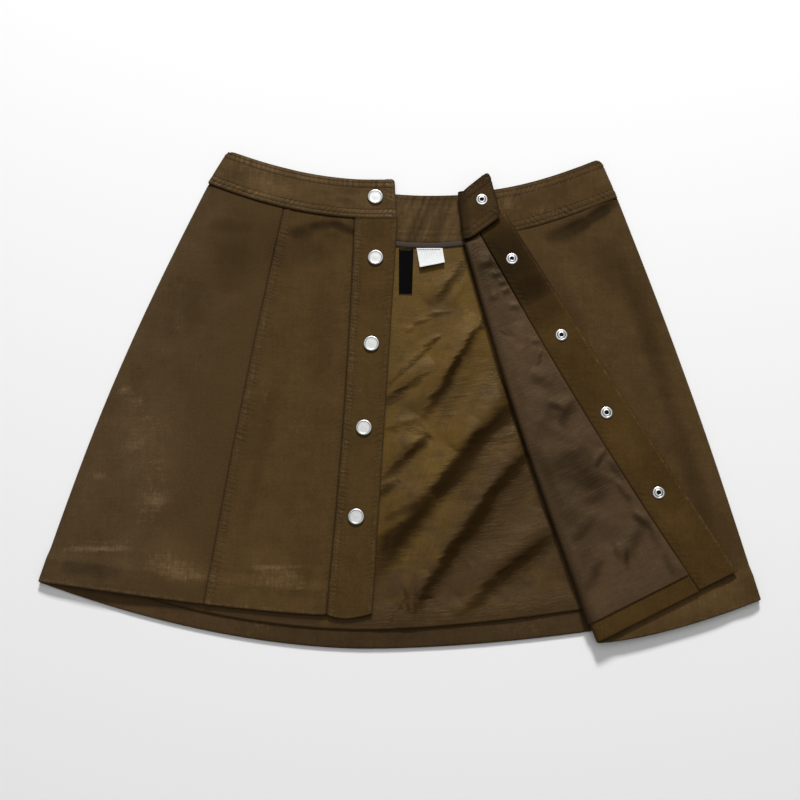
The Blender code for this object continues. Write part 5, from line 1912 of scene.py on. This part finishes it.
@dataclass
class Sewing(Assembly):
    """Stitches of the seams, laid on the finished pieces and joined into one mesh for each group."""

    finish: ClassVar[Finish] = THREAD
    length: float = 2.4
    thickness: float = 0.42
    sunk: float = 0.08
    groups: dict[str, list[StitchRow]] = field(default_factory=dict)

    def plan(self, back: BackHalf, right: RightFront, left: LeftFront, labels: Labels) -> None:
        """Lists every row of stitches.

        Args:
            back: The back.
            right: The right front.
            left: The left front.
            labels: The labels.
        """
        self._list("right_front", right.pieces["right_centre_front"],
                   [right.centre_cut.seam_line(row, 0.005, 0.995) for row in right.seam.rows])
        rows = (*right.placket_seam.rows, *(-row for row in right.placket_edge.rows))
        self._list("right_front", right.pieces["right_placket"],
                   [right.placket_cut.seam_line(row, 0.005, 0.99) for row in rows])
        lines = []
        for row in right.band_edge.rows:
            share, stop = row / BAND_HEIGHT, 1.0 - row / BAND_LENGTH
            lines += [right.band_cut.edge_line(share, 0.005, stop),
                      right.band_cut.edge_line(1.0 - share, 0.005, stop),
                      right.band_cut.seam_line(-row, share, 1.0 - share)]
        self._list("right_waistband", right.pieces["right_waistband"], lines)
        lines = []
        for row in left.band_edge.rows:
            share = row / BAND_HEIGHT
            lines += [left.band_cut.edge_line(share, 0.3, 0.995),
                      left.band_cut.edge_line(1.0 - share, 0.3, 0.995),
                      left.tab_cut.edge_line(1.0 - share, 0.08, 0.9)]
        lines += [left.tab_cut.edge_line(left.band_edge.rows[0] / BAND_HEIGHT, 0.08, 0.9),
                  left.tab_cut.seam_line(-left.tab_end_edge.rows[0], 0.09, 0.9)]
        self._list("left_waistband", left.pieces["left_waistband"], lines)
        drops = (*back.band_top.rows, *(BAND_HEIGHT - row for row in back.band_foot.rows))
        self._list("back_waistband", back.pieces["back_waistband"],
                   [back.band_cut.edge_line(drop / BAND_HEIGHT, 0.4, 0.68) for drop in drops])
        for name, label in (("woven_label", WOVEN_LABEL), ("care_label", CARE_LABEL)):
            y = label.top_y - LABEL_SEWN
            ends = np.array(((label.top_left + LABEL_INSET, y), (label.top_right - LABEL_INSET, y)))
            self._list("labels", labels.pieces[name], [ends], LABEL_PITCH)

    def _list(self, group: str, piece: Object, lines: Sequence[Array],
              pitch: float = STITCH_PITCH) -> None:
        """Adds rows of stitches on one piece to a group."""
        self.groups.setdefault(group, []).extend(StitchRow(piece, line, pitch) for line in lines)

    def build(self) -> None:
        """Models one stitch, and lays copies of it along every row."""
        corners, faces = self._stitch()
        for group, rows in self.groups.items():
            frames = [frame for row in rows for frame in self._frames(row)]
            count = len(corners)
            placed = np.concatenate([corners @ turn.T + place for place, turn in frames])
            joined = [tuple(corner + index * count for corner in face)
                      for index in range(len(frames)) for face in faces]
            mesh = bpy.data.meshes.new(f"stitches_{group}")
            mesh.from_pydata(placed.tolist(), [], joined)
            mesh.polygons.foreach_set("use_smooth", [True] * len(mesh.polygons))
            piece = bpy.data.objects.new(f"stitches_{group}", mesh)
            bpy.context.scene.collection.objects.link(piece)
            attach(piece, ROOT)
            self.pieces[group] = piece
            LOG.info("%s: %d stitches", piece.name, len(frames))

    def _stitch(self) -> tuple[Array, list[tuple[int, ...]]]:
        """Models one stitch along X: a thick middle that dives into the suede at both ends.

        The sphere's faces come in another order each run, so they are put into a fixed one.

        Returns:
            Its corners in metres and its faces.
        """
        deselect()
        bpy.ops.mesh.primitive_uv_sphere_add(segments=6, ring_count=4, radius=self.thickness * MM)
        model = adopt("stitch")
        bpy.ops.object.mode_set(mode="EDIT")
        bpy.ops.mesh.select_all(action="SELECT")
        bpy.ops.transform.resize(value=(self.length / 2 / self.thickness, 1.0, 0.8))
        bpy.ops.object.mode_set(mode="OBJECT")
        corners = np.array([vertex.co for vertex in model.data.vertices])
        order = np.lexsort(np.round(corners / MM, 3).T)
        rank = np.argsort(order)
        faces = [tuple(rank[list(face.vertices)].tolist()) for face in model.data.polygons]
        faces = sorted(face[face.index(min(face)):] + face[:face.index(min(face))] for face in faces)
        bpy.data.objects.remove(model)
        return corners[order], faces

    def _frames(self, row: StitchRow) -> list[tuple[Array, Array]]:
        """Places and turns of the stitches of a row, found by dropping rays on its piece.

        Args:
            row: The row.

        Returns:
            A place and a turn for each stitch that lands on the piece.
        """
        mesh = row.piece.data
        tree = BVHTree.FromPolygons([vertex.co for vertex in mesh.vertices],
                                    [tuple(face.vertices) for face in mesh.polygons])
        run = np.concatenate(([0.0], np.cumsum(np.hypot(*np.diff(row.line, axis=0).T))))
        marks = np.arange(row.pitch / 2, run[-1], row.pitch)
        xs, ys = (np.interp(marks, run, row.line[:, axis]) for axis in (0, 1))
        slope_x, slope_y = (np.gradient(values) for values in (xs, ys))
        frames = []
        for x, y, run_x, run_y in zip(xs, ys, slope_x, slope_y):
            hit, normal, _, _ = tree.ray_cast(Vector((x * MM, y * MM, 0.05)), Vector((0.0, 0.0, -1.0)))
            if hit is None:
                continue
            way = Vector((run_x, run_y, 0.0))
            forward = (way - normal * way.dot(normal)).normalized()
            turn = np.array((forward, normal.cross(forward), normal)).T
            frames.append((np.array(hit - normal * self.sunk * MM), turn))
        return frames


# ------------------------ light and camera

@dataclass
class Studio:
    """Pale floor, one directional softbox beyond the waist, an overhead fill and the camera."""

    key_way: tuple[float, float, float] = (0.06, 0.805, 0.59)
    key_distance: float = 4.0
    key_size: float = 0.7
    key_power: float = 155.0
    fill_height: float = 1.7
    fill_size: float = 1.9
    fill_power: float = 9.0
    world_strength: float = 0.2
    floor_colour: Colour = (0.9, 0.9, 0.9)
    camera_target: tuple[float, float, float] = (0.0, -0.0105, 0.0)
    camera_elevation: float = 75.0
    camera_distance: float = 1.25
    camera_lens: float = 60.0

    def build(self) -> None:
        """Builds the whole studio."""
        self._floor()
        self._world()
        way = Vector(self.key_way).normalized()
        self._area("key_softbox", way * self.key_distance, self.key_size, self.key_power)
        self._area("fill_softbox", Vector((0.0, 0.1, self.fill_height)), self.fill_size, self.fill_power)
        self._camera()
        bpy.context.scene.view_settings.view_transform = "Standard"

    def _floor(self) -> None:
        """Plain pale surface under the skirt."""
        deselect()
        bpy.ops.mesh.primitive_plane_add(size=8.0, location=(0.0, 0.0, -0.0003))
        floor = adopt("floor")
        material = bpy.data.materials.new("floor_paper")
        material.use_nodes = True
        paper = {"Base Color": self.floor_colour, "Roughness": 0.9, "Specular IOR Level": 0.1}
        Nodes(material.node_tree).feed(material.node_tree.nodes["Principled BSDF"], paper)
        floor.data.materials.append(material)

    def _world(self) -> None:
        """Even pale surroundings."""
        world = bpy.data.worlds.new("studio")
        world.use_nodes = True
        pale = {"Color": (1.0, 1.0, 1.0), "Strength": self.world_strength}
        Nodes(world.node_tree).feed(world.node_tree.nodes["Background"], pale)
        bpy.context.scene.world = world

    def _area(self, name: str, place: Vector, size: float, power: float) -> None:
        """One square softbox that faces the skirt.

        Args:
            name: Its name.
            place: Where it stands.
            size: Its side.
            power: Its power in watts.
        """
        light = bpy.data.lights.new(name, "AREA")
        light.shape = "SQUARE"
        light.size = size
        light.energy = power
        box = bpy.data.objects.new(name, light)
        box.location = place
        box.rotation_euler = (-place).to_track_quat("-Z", "Y").to_euler()
        bpy.context.scene.collection.objects.link(box)

    def _camera(self) -> None:
        """Camera at the photograph's angle."""
        elevation = math.radians(self.camera_elevation)
        target = Vector(self.camera_target)
        back = Vector((0.0, -math.cos(elevation), math.sin(elevation)))
        camera = bpy.data.cameras.new("photo_camera")
        camera.lens = self.camera_lens
        camera.sensor_width = 36.0
        holder = bpy.data.objects.new("photo_camera", camera)
        holder.location = target + back * self.camera_distance
        holder.rotation_euler = (-back).to_track_quat("-Z", "Y").to_euler()
        bpy.context.scene.collection.objects.link(holder)
        bpy.context.scene.camera = holder


# ------------------------ the whole


def main() -> None:
    """Builds and dresses the skirt, piece by piece, and sets up the studio."""
    logging.basicConfig(level=logging.INFO, format="%(name)s: %(message)s")
    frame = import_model()
    LOG.info("the frame has %d nodes", len(frame["nodes"]))
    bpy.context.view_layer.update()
    effects = Effects()
    effects.build()
    wardrobe = Wardrobe(effects)
    studio = Studio()
    studio.build()
    back, labels, right, left = BackHalf(), Labels(), RightFront(), LeftFront()
    snaps, sewing = Snaps(), Sewing()
    for part in (back, labels, right, left, snaps):
        part.build()
        part.dress(wardrobe)
        LOG.info("%s is built and dressed", type(part).__name__)
    sewing.plan(back, right, left, labels)
    sewing.build()
    sewing.dress(wardrobe)
    LOG.info("sewing: %d groups of stitches", len(sewing.pieces))


if __name__ == "__main__":
    main()
